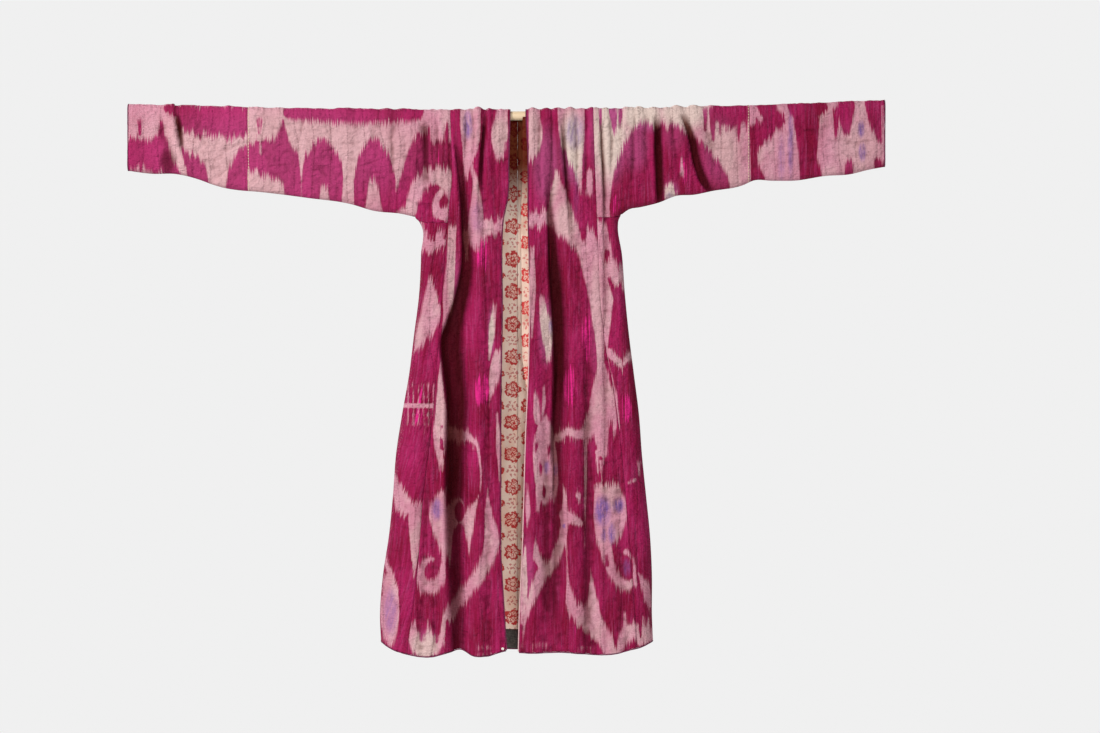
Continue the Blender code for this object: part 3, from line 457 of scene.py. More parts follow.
        (PALE, (-67.8, -6.4, 0.2), (-67.8, -3.6, 0.1)),
    )),
    "sleeve_upper_right": (PALE, (
        (DARK, (18, 1, 0.4), (18, -3, 0.3)),
        (DARK, (20.6, 1.5, 0.9), (20.9, -1.4, 0.7), (21.2, -3.8, 0.25)),
        (DARK, (22.4, 1, 0.6), (22.3, -2.6, 0.3)),
        (DARK, (27.4, -4.4, 2.5), (26.6, -9, 4.0), (25.8, -14, 5.0), (25.4, -20, 5.4)),
        (DARK, (31.4, -2.6, 0.9), (31.2, -5.6, 2.2), (31, -12, 2.8), (31, -20, 3.2)),
        (DARK, (33.4, -2.6, 0.8), (34.2, -4.6, 1.9), (35.6, -8, 3.6), (37.8, -12, 5.4), (39.8, -16.4, 6.4)),
        (PALE, (33, -16, 1.0), (33.4, -18.6, 1.5)),
        (PALE, (35.6, -9.4, 0.2), (35.8, -12.4, 0.4)),
        (DARK, (46.4, 1, 4.2, 3.6)),
        (DARK, (40.8, 1, 0.5), (40.8, -3, 0.3)),
        (DARK, (42.4, 1, 0.8), (42.4, -5, 0.4)),
        (DARK, (43.9, 1, 0.3), (43.9, -4, 0.2)),
        (DARK, (45, 1.4, 1.2), (49.8, 1.6, 1.4)),
        (DARK, (45.4, 0, 0.4), (45.4, -3.2, 0.2)),
        (DARK, (48, 0, 0.7), (48, -5.5, 0.25)),
        (DARK, (49.7, 0, 0.4), (49.7, -3.4, 0.2)),
    )),
    "sleeve_lower_right": (PALE, (
        (DARK, (54, 1.8, 2.4), (54, -1.8, 2.2), (52.6, -4.6, 1.6)),
        (DARK, (56.6, -1, 1.2, 2.2)),
        (PALE, (51.6, 0.9, 0.8), (52.8, -0.6, 0.5)),
        (DARK, (51.3, -3, 1.0), (51.4, -9, 0.8), (52.2, -14, 1.6)),
        (DARK, (57.7, 0, 0.4), (57.8, -1.4, 0.3)),
        (DARK, (59.6, 2, 1.0), (62, 1.5, 2.4), (66, 1.8, 1.4)),
        (DARK, (62.8, -1, 2.8), (63, -6, 2.3), (63, -9.5, 2.0), (63.8, -14, 2.5)),
        (DARK, (69.2, 1, 0.8), (69.2, -4, 0.4)),
        (DARK, (71.4, 2, 1.9), (71.4, -3, 1.1)),
        (DARK, (77.6, 2.5, 2.2), (77.9, -1.5, 1.6), (78.6, -5.5, 0.5)),
        (DARK, (72, -10.8, 0.9), (72, -13.5, 1.0)),
        (DARK, (78.4, -10.6, 1.1), (79, -12, 0.9)),
        (PALE, (79.2, 2, 0.15), (79.2, -6, 0.15)),
    )),
}

# Stains, faded cloth, hot pink streaks and painted shade: what, x, z, half width, half height, strength
LILAC, CREAM, HOT, SHADE = range(4)
TINTS = (
    (LILAC, -10.8, -2.2, 1.1, 3.4, 0.9), (LILAC, -8.6, -22, 1.6, 4, 0.25),
    (LILAC, -17.4, -85.4, 1.3, 2.6, 0.8),
    (LILAC, -27.4, -107.5, 1.6, 5.5, 0.55), (LILAC, 12.4, -3.6, 2.2, 4.2, 0.6),
    (LILAC, 7.2, -46, 0.5, 1.8, 0.9),
    (LILAC, 6.3, -76.5, 0.7, 1.8, 0.8), (LILAC, 8.3, -76.8, 0.5, 1.6, 0.8),
    (LILAC, 18.5, -85.8, 1.9, 3.6, 1.0),
    (LILAC, 21.9, -84.6, 1.4, 1.9, 1.0), (LILAC, 20.4, -90.6, 0.8, 2.6, 1.0),
    (LILAC, 18.7, -91, 0.6, 1.8, 0.8),
    (LILAC, 23.7, -98, 0.9, 2.2, 0.9), (LILAC, 10.2, -89, 0.4, 0.6, 0.9),
    (LILAC, 57.3, -9.5, 0.8, 5.5, 0.45), (LILAC, 59.3, -6, 0.7, 8, 0.7), (LILAC, 74.6, -3, 0.8, 2.0, 1.0),
    (LILAC, 74.9, -8, 0.9, 2.2, 0.9), (LILAC, 33, -17.8, 1.0, 1.4, 0.5), (LILAC, 12.8, -17, 0.6, 5, 0.4),
    (CREAM, -3.6, -4.5, 2.4, 5, 0.5), (CREAM, -5.7, -47, 0.9, 6, 0.9), (CREAM, -13.8, -36, 1.6, 9, 0.45),
    (CREAM, -16.8, -65, 1.4, 8, 0.4), (CREAM, -20, -115, 3.5, 4, 0.7), (CREAM, 3, -4, 2.2, 7, 0.45),
    (CREAM, 11.8, -7, 3.2, 9, 1.0), (CREAM, 6.2, -47, 2.0, 8, 0.8), (CREAM, 10.6, -23, 3.0, 5, 0.45),
    (CREAM, 20, -4, 4.6, 12, 1.0), (CREAM, 27, 0, 5.5, 4.5, 1.0), (CREAM, 36, 1, 6.5, 5, 0.9),
    (CREAM, 44, -8, 5, 9, 0.45), (CREAM, 25.5, -6, 3.6, 7, 0.6), (CREAM, 34, -3, 3, 6, 0.3),
    (CREAM, 33.4, -16.5, 1.9, 2.6, 0.8), (CREAM, 2.2, -99, 1.6, 9, 0.55), (CREAM, -26, -4, 5, 8, 0.12),
    (CREAM, 6.2, -11, 3.4, 10, 0.7),
    (CREAM, 74, -7, 6, 7, 0.3), (CREAM, 17, -45, 1.6, 16, 0.35),
    # Painted shade: the left cuff a little darker, where less light reaches, and a painted shadow beside the
    # fold near it
    (SHADE, -84, -7, 8, 10, 0.15), (SHADE, -75.9, -9.8, 2.0, 3.4, 0.75),
    (CREAM, -52, -9, 38, 14, 0.42), (HOT, -7.4, -30, 1.9, 5, 1.0), (HOT, -7.6, -59.5, 2.2, 5, 1.0),
    (HOT, 15.0, -48.5, 1.3, 7, 1.0),
    (HOT, 11.4, -58.5, 1.8, 6, 1.0), (HOT, 7.4, -31, 1.0, 5, 0.6), (HOT, -15.6, -77, 1.3, 5, 0.5),
    (HOT, -20.8, -63, 3.6, 5, 0.6),
    (HOT, 23.4, -63.5, 1.9, 4.5, 0.8), (HOT, -3.6, -104, 0.7, 5, 0.9), (HOT, 36, -12.5, 1.0, 4.5, 0.9),
    (HOT, 21.4, -19.5, 1.4, 3, 0.8), (HOT, -18.5, -10, 3, 5, 0.35), (HOT, -70.4, -0.5, 2.2, 2.6, 0.4),
    (HOT, -5.6, -114, 3, 3, 0.3), (HOT, 12, -113, 6, 3, 0.3),
)

# Slant of the charts behind, so that no motif lies straight behind its like
BACK_DRIFT = {"front": -0.03, "gore": 0.0, "sleeve": -0.2}


def curve(table, column, at):
    """Smooth value of one column of a table keyed by its first column."""
    rows = sorted(table)
    keys = np.array([row[0] for row in rows], dtype=float)
    values = np.array([row[column] for row in rows], dtype=float)
    slopes = np.gradient(values, keys)
    at = np.clip(at, keys[0], keys[-1])
    n = np.clip(np.searchsorted(keys, at) - 1, 0, len(keys) - 2)
    span = keys[n + 1] - keys[n]
    t = (at - keys[n]) / span
    return (
        values[n] * (1 + 2 * t) * (1 - t) ** 2
        + slopes[n] * span * t * (1 - t) ** 2
        + values[n + 1] * t * t * (3 - 2 * t)
        + slopes[n + 1] * span * t * t * (t - 1)
    )


def ease(t):
    """Smooth step from 0 to 1."""
    t = np.clip(t, 0.0, 1.0)
    return t * t * (3 - 2 * t)


def rod_height(x):
    return ROD_TILT * x + ROD_BOW * x * x


def ridge(x, centre, width):
    return np.exp(-(((x - centre) / width) ** 2))


def gather_rise(x, z, face, table=GATHERS):
    """Bunched cloth that stands out from the rod and dies out down the wall."""
    rise = 0.0
    for top_x, front_x, back_x, low_z, width, height in table:
        share = np.clip(z / low_z, 0.0, 1.0)
        foot_x = front_x if face == FRONT else back_x
        centre = top_x + (foot_x - top_x) * share + GATHER_WANDER * soft_noise(top_x / 9 + 0.0 * z, z / 48, 1)
        uneven = 1 + GATHER_UNEVEN * soft_noise(top_x / 7 + 0.0 * z, z / 36, 2)
        lasting = 1 - ease((share - 0.35) / 0.65)
        rise = rise + GATHER_SHARE * height * uneven * lasting * ridge(x, centre, width)
    return rise


def fold_rise(x, z, face):
    """Long folds of the skirt, shallower where the body is thin."""
    rise = 0.0
    for top_x, foot_x, top_z, foot_z, width, height in FRONT_FOLDS if face == FRONT else BACK_FOLDS:
        share = np.clip((top_z - z) / (top_z - foot_z), 0.0, 1.0)
        centre = top_x + (foot_x - top_x) * share
        shown = ease((top_z - z) / FOLD_FADE) * ease((z - foot_z) / FOLD_FADE)
        rise = rise + height * shown * ridge(x, centre, width)
    return rise * np.clip(curve(DEPTH, 1, z) / 22.0, 0.15, 1.0)


QUILT_STEP = 37.0       # between stitched rows down the cloth
QUILT_DEPTH = 0.8
PUCKER = 0.8
CRINKLE = 1.45
UNEVEN = 2.3
GATHER_SHARE = 0.66
SEAM_GROOVE = 0.9
LATTICE = 61
OVER_ROD = 70.0
GATHER_WANDER = 4.0
GATHER_UNEVEN = 0.5
PLEAT_DARK = 9.0        # a pleat this deep gets the full painted shade, and deeper where the robe is
PLEAT_DARK_SHARE = 0.62
PLEAT_SHADE = 0.94
HOLLOWS = (
    # width looked over, depth of the full painted shade, strength of the painted shade
    (44.0, 4.2, 0.6),
    (14.0, 1.4, 0.22),
)
QUILT_WIDTH = 2.8
SEAM_WIDTH = 2.6
BODY_LEFT = -195.0      # the body's depth holds between these, and fades out along the sleeves
BODY_RIGHT = 204.0
LEAST_BELOW = -34.0     # the least depth holds below this, and grows to the rod's above it
LEAST_FADE = 20.0
LEAST_ROUNDING = 2.0


def soft_noise(x, z, seed):
    """Smooth random height between -1 and 1 on a lattice of unit cells."""
    lattice = np.random.default_rng(seed).uniform(-1.0, 1.0, (LATTICE, LATTICE))
    i, j = np.floor(x).astype(int), np.floor(z).astype(int)
    s, t = ease(x - i), ease(z - j)
    i, j = i % LATTICE, j % LATTICE
    after_i, after_j = (i + 1) % LATTICE, (j + 1) % LATTICE
    low = lattice[i, j] * (1 - s) + lattice[after_i, j] * s
    high = lattice[i, after_j] * (1 - s) + lattice[after_i, after_j] * s
    return low * (1 - t) + high * t


def pleat_rise(x, z, face):
    """The drop beside a fold that lies over to one side, which rises again further on."""
    rise = 0.0
    for table in PLEATS[face]:
        across = (x - curve(table, 1, z)) / curve(table, 3, z)
        rise = rise - curve(table, 2, z) * ease((across + 0.12) / 0.14) * (1 - ease((across - 0.3) / 0.7))
    return rise


def crease_rise(x, z, face):
    rise = np.zeros(np.shape(x))
    for x1, z1, x2, z2, width, height in CREASES[face]:
        reach = 3 * width
        near = (x > min(x1, x2) - reach) & (x < max(x1, x2) + reach)
        near &= (z > min(z1, z2) - reach) & (z < max(z1, z2) + reach)
        px, pz = x[near] - x1, z[near] - z1
        along_x, along_z = x2 - x1, z2 - z1
        length = math.hypot(along_x, along_z)
        share = (px * along_x + pz * along_z) / length ** 2
        off = (pz * along_x - px * along_z) / length
        fade = np.clip(4 * share * (1 - share), 0.0, 1.0)
        rise[near] += height * fade * np.exp(-((off / width) ** 2))
    return rise


def crinkles(x, z, seed):
    """Irregular fine creases along the level lines of a warped noise."""
    warped_x = x + 10 * soft_noise(x / 55, z / 40, seed)
    warped_z = z + 12 * soft_noise(x / 45, z / 60, seed + 1)
    long_ones = np.exp(-((soft_noise(warped_x / 25, warped_z / 40, seed + 2) / 0.2) ** 2))
    short_ones = np.exp(-((soft_noise(warped_x / 17, warped_z / 15, seed + 3) / 0.24) ** 2))
    shown = 0.55 + 0.45 * soft_noise(x / 70, z / 80, seed + 4)
    return -shown * (long_ones + 0.6 * short_ones)


def quilt_phase(x, z):
    """Counts the stitched rows: a whole number on each of them."""
    return x / QUILT_STEP + 0.2 * soft_noise(x / 60, z / 70, 5)


def quilting(x, z, face):
    """Stitched rows down the wadded cloth, small puckers, fine creases and an uneven hand."""
    seed = 5 if face == FRONT else 29
    phase = quilt_phase(x, z)
    off = np.abs(phase - np.round(phase)) * QUILT_STEP
    row = np.exp(-((off / QUILT_WIDTH) ** 2)) * (0.6 + 0.5 * soft_noise(x / 30, z / 26, seed + 1))
    puckers = soft_noise(x / 15, z / 8, seed + 2) + 0.6 * soft_noise(x / 9, z / 11, seed + 3)
    uneven = soft_noise(x / 42, z / 55, seed + 4)
    return PUCKER * puckers - QUILT_DEPTH * row + UNEVEN * uneven + CRINKLE * crinkles(x, z, seed + 5)


def seam_groove(x, z):
    rise = 0.0
    for side in ("left", "right"):
        rise = rise - SEAM_GROOVE * (
            ridge(x, seam_x(side, z), SEAM_WIDTH) + ridge(x, SLEEVE_SEAM[side], SEAM_WIDTH)
        )
    return rise


def face_relief(x, z, face):
    """What the solids leave out on one face: pleats, creases, quilting and seam grooves."""
    return pleat_rise(x, z, face) + crease_rise(x, z, face) + quilting(x, z, face) + seam_groove(x, z)


def on_face(rise, x, z, face):
    """The rise of a face, which is the front's own where the cloth lies over the rod."""
    if face == FRONT:
        return rise(x, z, FRONT)
    top = 1 - ease((rod_height(x) - z) / OVER_ROD)
    return rise(x, z, FRONT) * top + rise(x, z, BACK) * (1 - top)


def relief(x, z, face):
    return gather_rise(x, z, face, FINE_GATHERS) + on_face(face_relief, x, z, face)


def half_depth(x, z, face):
    """Distance of the middle of the wall from the plane through the rod."""
    x, z = np.broadcast_arrays(np.asarray(x, dtype=float), np.asarray(z, dtype=float))
    outside = np.maximum(BODY_LEFT - x, x - BODY_RIGHT)
    sleeve = ease(outside / SLEEVE_FADE)
    extra = curve(DEPTH, 1, z) * (1 - sleeve) + SLEEVE_EXTRA * sleeve
    depth = REST_RADIUS + extra + gather_rise(x, z, face) + fold_rise(x, z, face) + relief(x, z, face)
    least = LEAST_DEPTH + (REST_RADIUS - LEAST_DEPTH) * ease((z - LEAST_BELOW) / LEAST_FADE)
    over = depth - least
    return least + (over + np.sqrt(over ** 2 + LEAST_ROUNDING)) / 2


def smooth_chain(nodes):
    """A smooth line of spots through a motif's own spots."""
    if len(nodes) < 3:
        return np.array(nodes, dtype=float)
    table = [(n, *node) for n, node in enumerate(nodes)]
    at = np.linspace(0, len(nodes) - 1, 4 * (len(nodes) - 1) + 1)
    return np.stack([curve(table, column, at) for column in (1, 2, 3)], axis=-1)


def inside_oval(x, z, centre_x, centre_z, half_width, half_height):
    away = np.sqrt(((x - centre_x) / half_width) ** 2 + ((z - centre_z) / half_height) ** 2)
    return (1 - away) * min(half_width, half_height / STRETCH)


def inside_chain(x, z, nodes):
    best = np.full(x.shape, -REACH)
    spots = smooth_chain(nodes)
    for (x1, z1, r1), (x2, z2, r2) in zip(spots, spots[1:]):
        along_x, along_z = x2 - x1, (z2 - z1) / STRETCH
        px, pz = x - x1, (z - z1) / STRETCH
        share = np.clip((px * along_x + pz * along_z) / (along_x ** 2 + along_z ** 2), 0.0, 1.0)
        away = np.hypot(px - along_x * share, pz - along_z * share)
        best = np.maximum(best, r1 + (r2 - r1) * share - away)
    return best


def dye_field(chart, x, z):
    """Centimetres inside the dark dye, or less than 0 in the pale cloth."""
    base, motifs = IKAT[chart]
    field = np.full(x.shape, base * REACH)
    for dye, *nodes in motifs:
        oval = len(nodes[0]) == 4
        reach_x = REACH + max(node[2] for node in nodes)
        reach_z = REACH * STRETCH + max(node[-1] for node in nodes) * STRETCH
        near = (x > min(node[0] for node in nodes) - reach_x) & (x < max(node[0] for node in nodes) + reach_x)
        lowest, highest = min(node[1] for node in nodes), max(node[1] for node in nodes)
        near &= (z > lowest - reach_z) & (z < highest + reach_z)
        inside = inside_oval(x[near], z[near], *nodes[0]) if oval else inside_chain(x[near], z[near], nodes)
        if dye == DARK:
            field[near] = np.maximum(field[near], inside)
        else:
            widest = max(node[2] for node in nodes)
            slimmer = min(PALE_TRIM, widest / 3) * ease((TRIM_FROM - z[near]) / TRIM_FADE)
            field[near] = np.minimum(field[near], slimmer - inside)
    return np.clip(field, -REACH, REACH)


def tint_values(x, z):
    """Strength of each stain, faded patch, hot streak and painted shade at each point."""
    values = np.zeros((*x.shape, 4))
    for kind, centre_x, centre_z, half_width, half_height, strength in TINTS:
        away = np.hypot((x - centre_x) / half_width, (z - centre_z) / half_height)
        values[..., kind] = np.maximum(values[..., kind], strength * (1 - ease((away - 0.45) / 0.75)))
    return values


def box_blur(grid, half):
    """Mean over a square window of a grid of points, which runs on evenly past its borders."""
    for axis in (0, 1):
        reach = [(half, half) if a == axis else (0, 0) for a in range(3)]
        grid = np.cumsum(np.pad(grid, reach, mode="reflect", reflect_type="odd"), axis=axis)
        count = grid.shape[axis]
        ends = np.take(grid, range(2 * half, count), axis=axis)
        starts = np.take(grid, range(0, count - 2 * half - 1), axis=axis)
        pad = [(1, 0) if a == axis else (0, 0) for a in range(3)]
        grid = (ends - np.pad(starts, pad)) / (2 * half + 1)
    return grid


def hollow(middle, normal, width):
    """How far each point lies below the mean of its surroundings, in millimetres."""
    cell = np.median(np.linalg.norm(np.diff(middle, axis=1), axis=-1))
    half = min(max(1, round(width / 2 / cell)), min(middle.shape[:2]) - 1)
    return np.sum((box_blur(middle, half) - middle) * normal, axis=-1)


def fold_shade(middle, normal):
    """Painted shade in pleats and creases, from 0 to 1: darker cloth where the shade of a fold falls."""
    x, z = middle[..., 0], middle[..., 2]
    behind = middle[..., 1] > 0
    rise = np.where(behind, on_face(pleat_rise, x, z, BACK), on_face(pleat_rise, x, z, FRONT))
    full_depth = PLEAT_DARK + PLEAT_DARK_SHARE * curve(DEPTH, 1, z)
    light = 1 - PLEAT_SHADE * np.clip(-rise / full_depth, 0.0, 1.0) ** 1.2
    for width, full_depth, strength in HOLLOWS:
        light = light * (1 - strength * np.clip(hollow(middle, normal, width) / full_depth, 0.0, 1.0))
    return 1 - light


def put_attribute(mesh, name, kind, field, values):
    """One value for each point of a shell, the same on both sides of its wall."""
    flat = values.reshape(-1, values.shape[-1])
    both = np.concatenate([flat, flat]).astype(np.float32)
    mesh.attributes.new(name, kind, "POINT").data.foreach_set(field, both.ravel())


def paint(mesh, chart, middle, normal):
    """Cloth coordinates in centimetres, a number for the piece, and a chart's dye, stains and painted shade.
    """
    x, z = middle[..., 0] / 10, middle[..., 2] / 10
    across = x
    if chart and chart.startswith("gore"):
        lengths = np.linalg.norm(np.diff(middle, axis=0, prepend=middle[:1]), axis=-1)
        across = x[:1] + lengths.cumsum(axis=0) / 10
    piece = np.full(x.shape, 3.7 * len(bpy.data.meshes))
    put_attribute(mesh, "cloth", "FLOAT_VECTOR", "vector", np.stack([across, z, piece], axis=-1))
    if chart is None:
        return
    rows = np.sin(math.pi * quilt_phase(middle[..., 0], middle[..., 2]))[..., None]
    put_attribute(mesh, "quilt", "FLOAT", "value", rows)
    charted = x + np.where(middle[..., 1] > 0, BACK_DRIFT[chart.split("_")[0]] * z, 0.0)
    field = [dye_field(chart, charted, z + slip) for slip in (FEATHER, 0.0, -FEATHER)]
    put_attribute(mesh, "ikat", "FLOAT_VECTOR", "vector", np.stack(field, axis=-1))
    tints = tint_values(charted, z)
    # Painted shade of pleats and hollows joins the table's painted shade in the tint's alpha
    tints[..., SHADE] = np.maximum(tints[..., SHADE], fold_shade(middle, normal))
    put_attribute(mesh, "tint", "FLOAT_COLOR", "color", tints)


def side_column(side, first):
    return first if side == "left" else first + 2


def side_x(side, z):
    """Middle of the wall at the outline of one side of the skirt."""
    return curve(SIDES, side_column(side, 1), z) - DIRECTION[side] * WALL / 2


def side_turn(side, z):
    return curve(SIDES, side_column(side, 2), z)


def seam_x(side, z):
    return curve(SEAMS, 1 if side == "left" else 2, z)


def hem_z(x, face):
    return curve(FRONT_HEM if face == FRONT else BACK_HEM, 1, x)


def skirt_z(top, hem, row, trim):
    """Height of a skirt row: 3 is the top of the skirt and 4 its hem, or 4 to 5 across the hem's edging."""
    if trim:
        return hem + EDGING_WIDTH * (5 - row)
    return top + (hem + EDGING_WIDTH + SEAM_GAP - top) * (row - 3)


def body_point(side, face, place, row, trim=False):
    """A point of a front or back; place gives x from z, and row runs down from the rod to the hem."""
    rod = rod_height(place(0.0 * row))
    low = UNDERARM[side]
    hem = hem_z(place(HEM_LEVEL + 0.0 * row), face)
    fall = rod + (low + ROUND_HEIGHT - rod) * (row - 1)
    zone = low + ROUND_HEIGHT * (3 - row)
    z = np.where(row <= 2, fall, np.where(row <= 3, zone, skirt_z(low, hem, row, trim)))
    z = np.where(row < 1, rod, z)
    x = place(z)
    depth = half_depth(x, z, face)
    turn = np.clip(row, 0.0, 1.0)
    if face == BACK:
        notch = NECK_TURN * np.clip((NECK_HALF - np.abs(x)) / NECK_FADE, 0.0, 1.0)
        turn = notch + (1 - notch) * turn
    y = depth * np.sin(turn * math.pi / 2)
    z = z + np.where(row < 1, depth * np.cos(turn * math.pi / 2), 0.0)
    return np.stack([x, face * y, z], axis=-1)


def underarm_z(side, angle):
    """Height of the seam between sleeve and gore, from its flat run (0) round to the tip (a right angle)."""
    return UNDERARM[side] + (UNDERARM_TIP[side] - UNDERARM[side]) * (1 - np.cos(angle))


def gore_point(side, around, row, trim=False):
    """A point of a side gore: around is 0 at the front seam, 1 at the outline and 2 at the back seam."""
    inward = 1 - np.abs(around - 1)
    face = np.where(around <= 1, FRONT, BACK)
    angle = np.clip((inward - 0.5) * 2, 0.0, 1.0) * math.pi / 2
    straight = np.clip(inward * 2, -1.0, 1.0)

    def plan(z):
        turn = side_turn(side, z)
        centre = side_x(side, z) - DIRECTION[side] * turn
        start = seam_x(side, z) + DIRECTION[side] * SEAM_GAP / 2
        return start + (centre - start) * straight + DIRECTION[side] * turn * np.sin(angle)

    foot = plan(HEM_LEVEL + 0.0 * row)
    hem = np.where(face == FRONT, hem_z(foot, FRONT), hem_z(foot, BACK))
    top = underarm_z(side, angle) - SEAM_GAP / 2 - TIP_GAP * np.sin(angle)
    z = skirt_z(top, hem, row, trim)
    x = plan(z)
    depth = np.where(face == FRONT, half_depth(x, z, FRONT), half_depth(x, z, BACK))
    return np.stack([x, face * depth * np.cos(angle), z], axis=-1)


def sleeve_start(side):
    """x where the sleeve's own length begins, and the length of the tip under the arm."""
    low = UNDERARM[side]
    start = side_x(side, low) - DIRECTION[side] * side_turn(side, low)
    return start, abs(side_x(side, UNDERARM_TIP[side]) - start)


def sleeve_point(side, along, around):
    """A point of a sleeve.

    along is minus the distance in millimetres outside the underarm, or 0 to 1 from there to the armhole.
    around runs from -3 at the lower seam in front, over the rod at 0, to 3 at the lower seam behind.
    """
    face = np.where(around <= 0, FRONT, BACK)
    row = np.abs(around)
    start, tip = sleeve_start(side)
    outer_x = start - DIRECTION[side] * np.minimum(along, 0.0)
    angle = np.arcsin(np.clip(-along / tip, 0.0, 1.0))
    open_z = underarm_z(side, angle) + SEAM_GAP / 2 + WALL / 2 * np.sin(angle)
    closed_z = curve(SLEEVE_LOW[side], 1, outer_x) + WALL / 2
    end_z = np.where(-along < tip, open_z, closed_z)

    def place(z):
        inner = seam_x(side, z) + DIRECTION[side] * SEAM_GAP / 2
        return np.where(along > 0, start + (inner - start) * along, outer_x)

    rod = rod_height(place(0.0 * row))
    fall = rod + (end_z + ROUND_HEIGHT - rod) * (row - 1)
    x = place(np.where(row < 1, rod, fall))
    depth_top = np.where(face == FRONT, half_depth(x, fall, FRONT), half_depth(x, fall, BACK))
    last = np.maximum(depth_top * np.cos(angle), SEAM_GAP / 2)
    turn = np.maximum(np.arccos(np.clip(last / depth_top, 0.0, 1.0)), 1e-4)
    share = np.clip(row - 2, 0.0, 1.0)
    zone = end_z + ROUND_HEIGHT * (1 - np.sin(share * turn) / np.sin(turn))
    z = np.where(row <= 1, rod, np.where(row <= 2, fall, zone))
    x = place(z)
    depth = np.where(face == FRONT, half_depth(x, z, FRONT), half_depth(x, z, BACK))
    over = np.clip(row, 0.0, 1.0) * math.pi / 2
    y = depth * np.where(row < 1, np.sin(over), np.cos(share * turn))
    z = z + np.where(row < 1, depth * np.cos(over), 0.0)
    return np.stack([x, face * y, z], axis=-1)


def steps(first, last, length, cell):
    """Even values from first up to last, without it, for a stretch of that length cut into cells."""
    count = max(1, round(abs(length) / cell))
    return [first + (last - first) * n / count for n in range(count)]


def shell(name, point, columns, rows, wall, finish, shift=0.0, chart=None):
    """A closed wall of even thickness on the surface point(column, row), moved outwards by shift."""
    u, v = np.meshgrid(np.array(columns, dtype=float), np.array(rows, dtype=float), indexing="ij")
    middle = point(u, v)
    normal = np.cross(np.gradient(middle, axis=0), np.gradient(middle, axis=1))
    normal /= np.maximum(np.linalg.norm(normal, axis=-1, keepdims=True), 1e-9)
    flipped = np.sum(normal[..., 1] * middle[..., 1]) < 0
    if flipped:
        normal = -normal
    outer = middle + normal * (shift + wall / 2)
    inner = middle + normal * (shift - wall / 2)
    spots = np.concatenate([outer.reshape(-1, 3), inner.reshape(-1, 3)]) * MM
    wide, high = u.shape
    index = np.arange(wide * high).reshape(wide, high)
    under = index + wide * high
    quads = [
        corners(index[:-1, :-1], index[1:, :-1], index[1:, 1:], index[:-1, 1:]),
        corners(under[:-1, :-1], under[:-1, 1:], under[1:, 1:], under[1:, :-1]),
        corners(index[:-1, 0], under[:-1, 0], under[1:, 0], index[1:, 0]),
        corners(index[1:, -1], under[1:, -1], under[:-1, -1], index[:-1, -1]),
        corners(index[0, 1:], under[0, 1:], under[0, :-1], index[0, :-1]),
        corners(index[-1, :-1], under[-1, :-1], under[-1, 1:], index[-1, 1:]),
    ]
    faces = np.concatenate(quads)
    if flipped:
        faces = faces[:, ::-1]
    mesh = bpy.data.meshes.new(name)
    mesh.from_pydata(spots.tolist(), [], faces.tolist())
    inside = np.zeros(len(faces), dtype=np.int32)
    inside[len(quads[0]):len(quads[0]) + len(quads[1])] = 1
    mesh.polygons.foreach_set("material_index", inside)
    mesh.shade_smooth()
    for material in finish:
        mesh.materials.append(material)
    paint(mesh, chart, middle, normal)
    thing = bpy.data.objects.new(name, mesh)
    bpy.context.scene.collection.objects.link(thing)
    return thing


def corners(*lines):
    return np.stack([line.ravel() for line in lines], axis=-1)


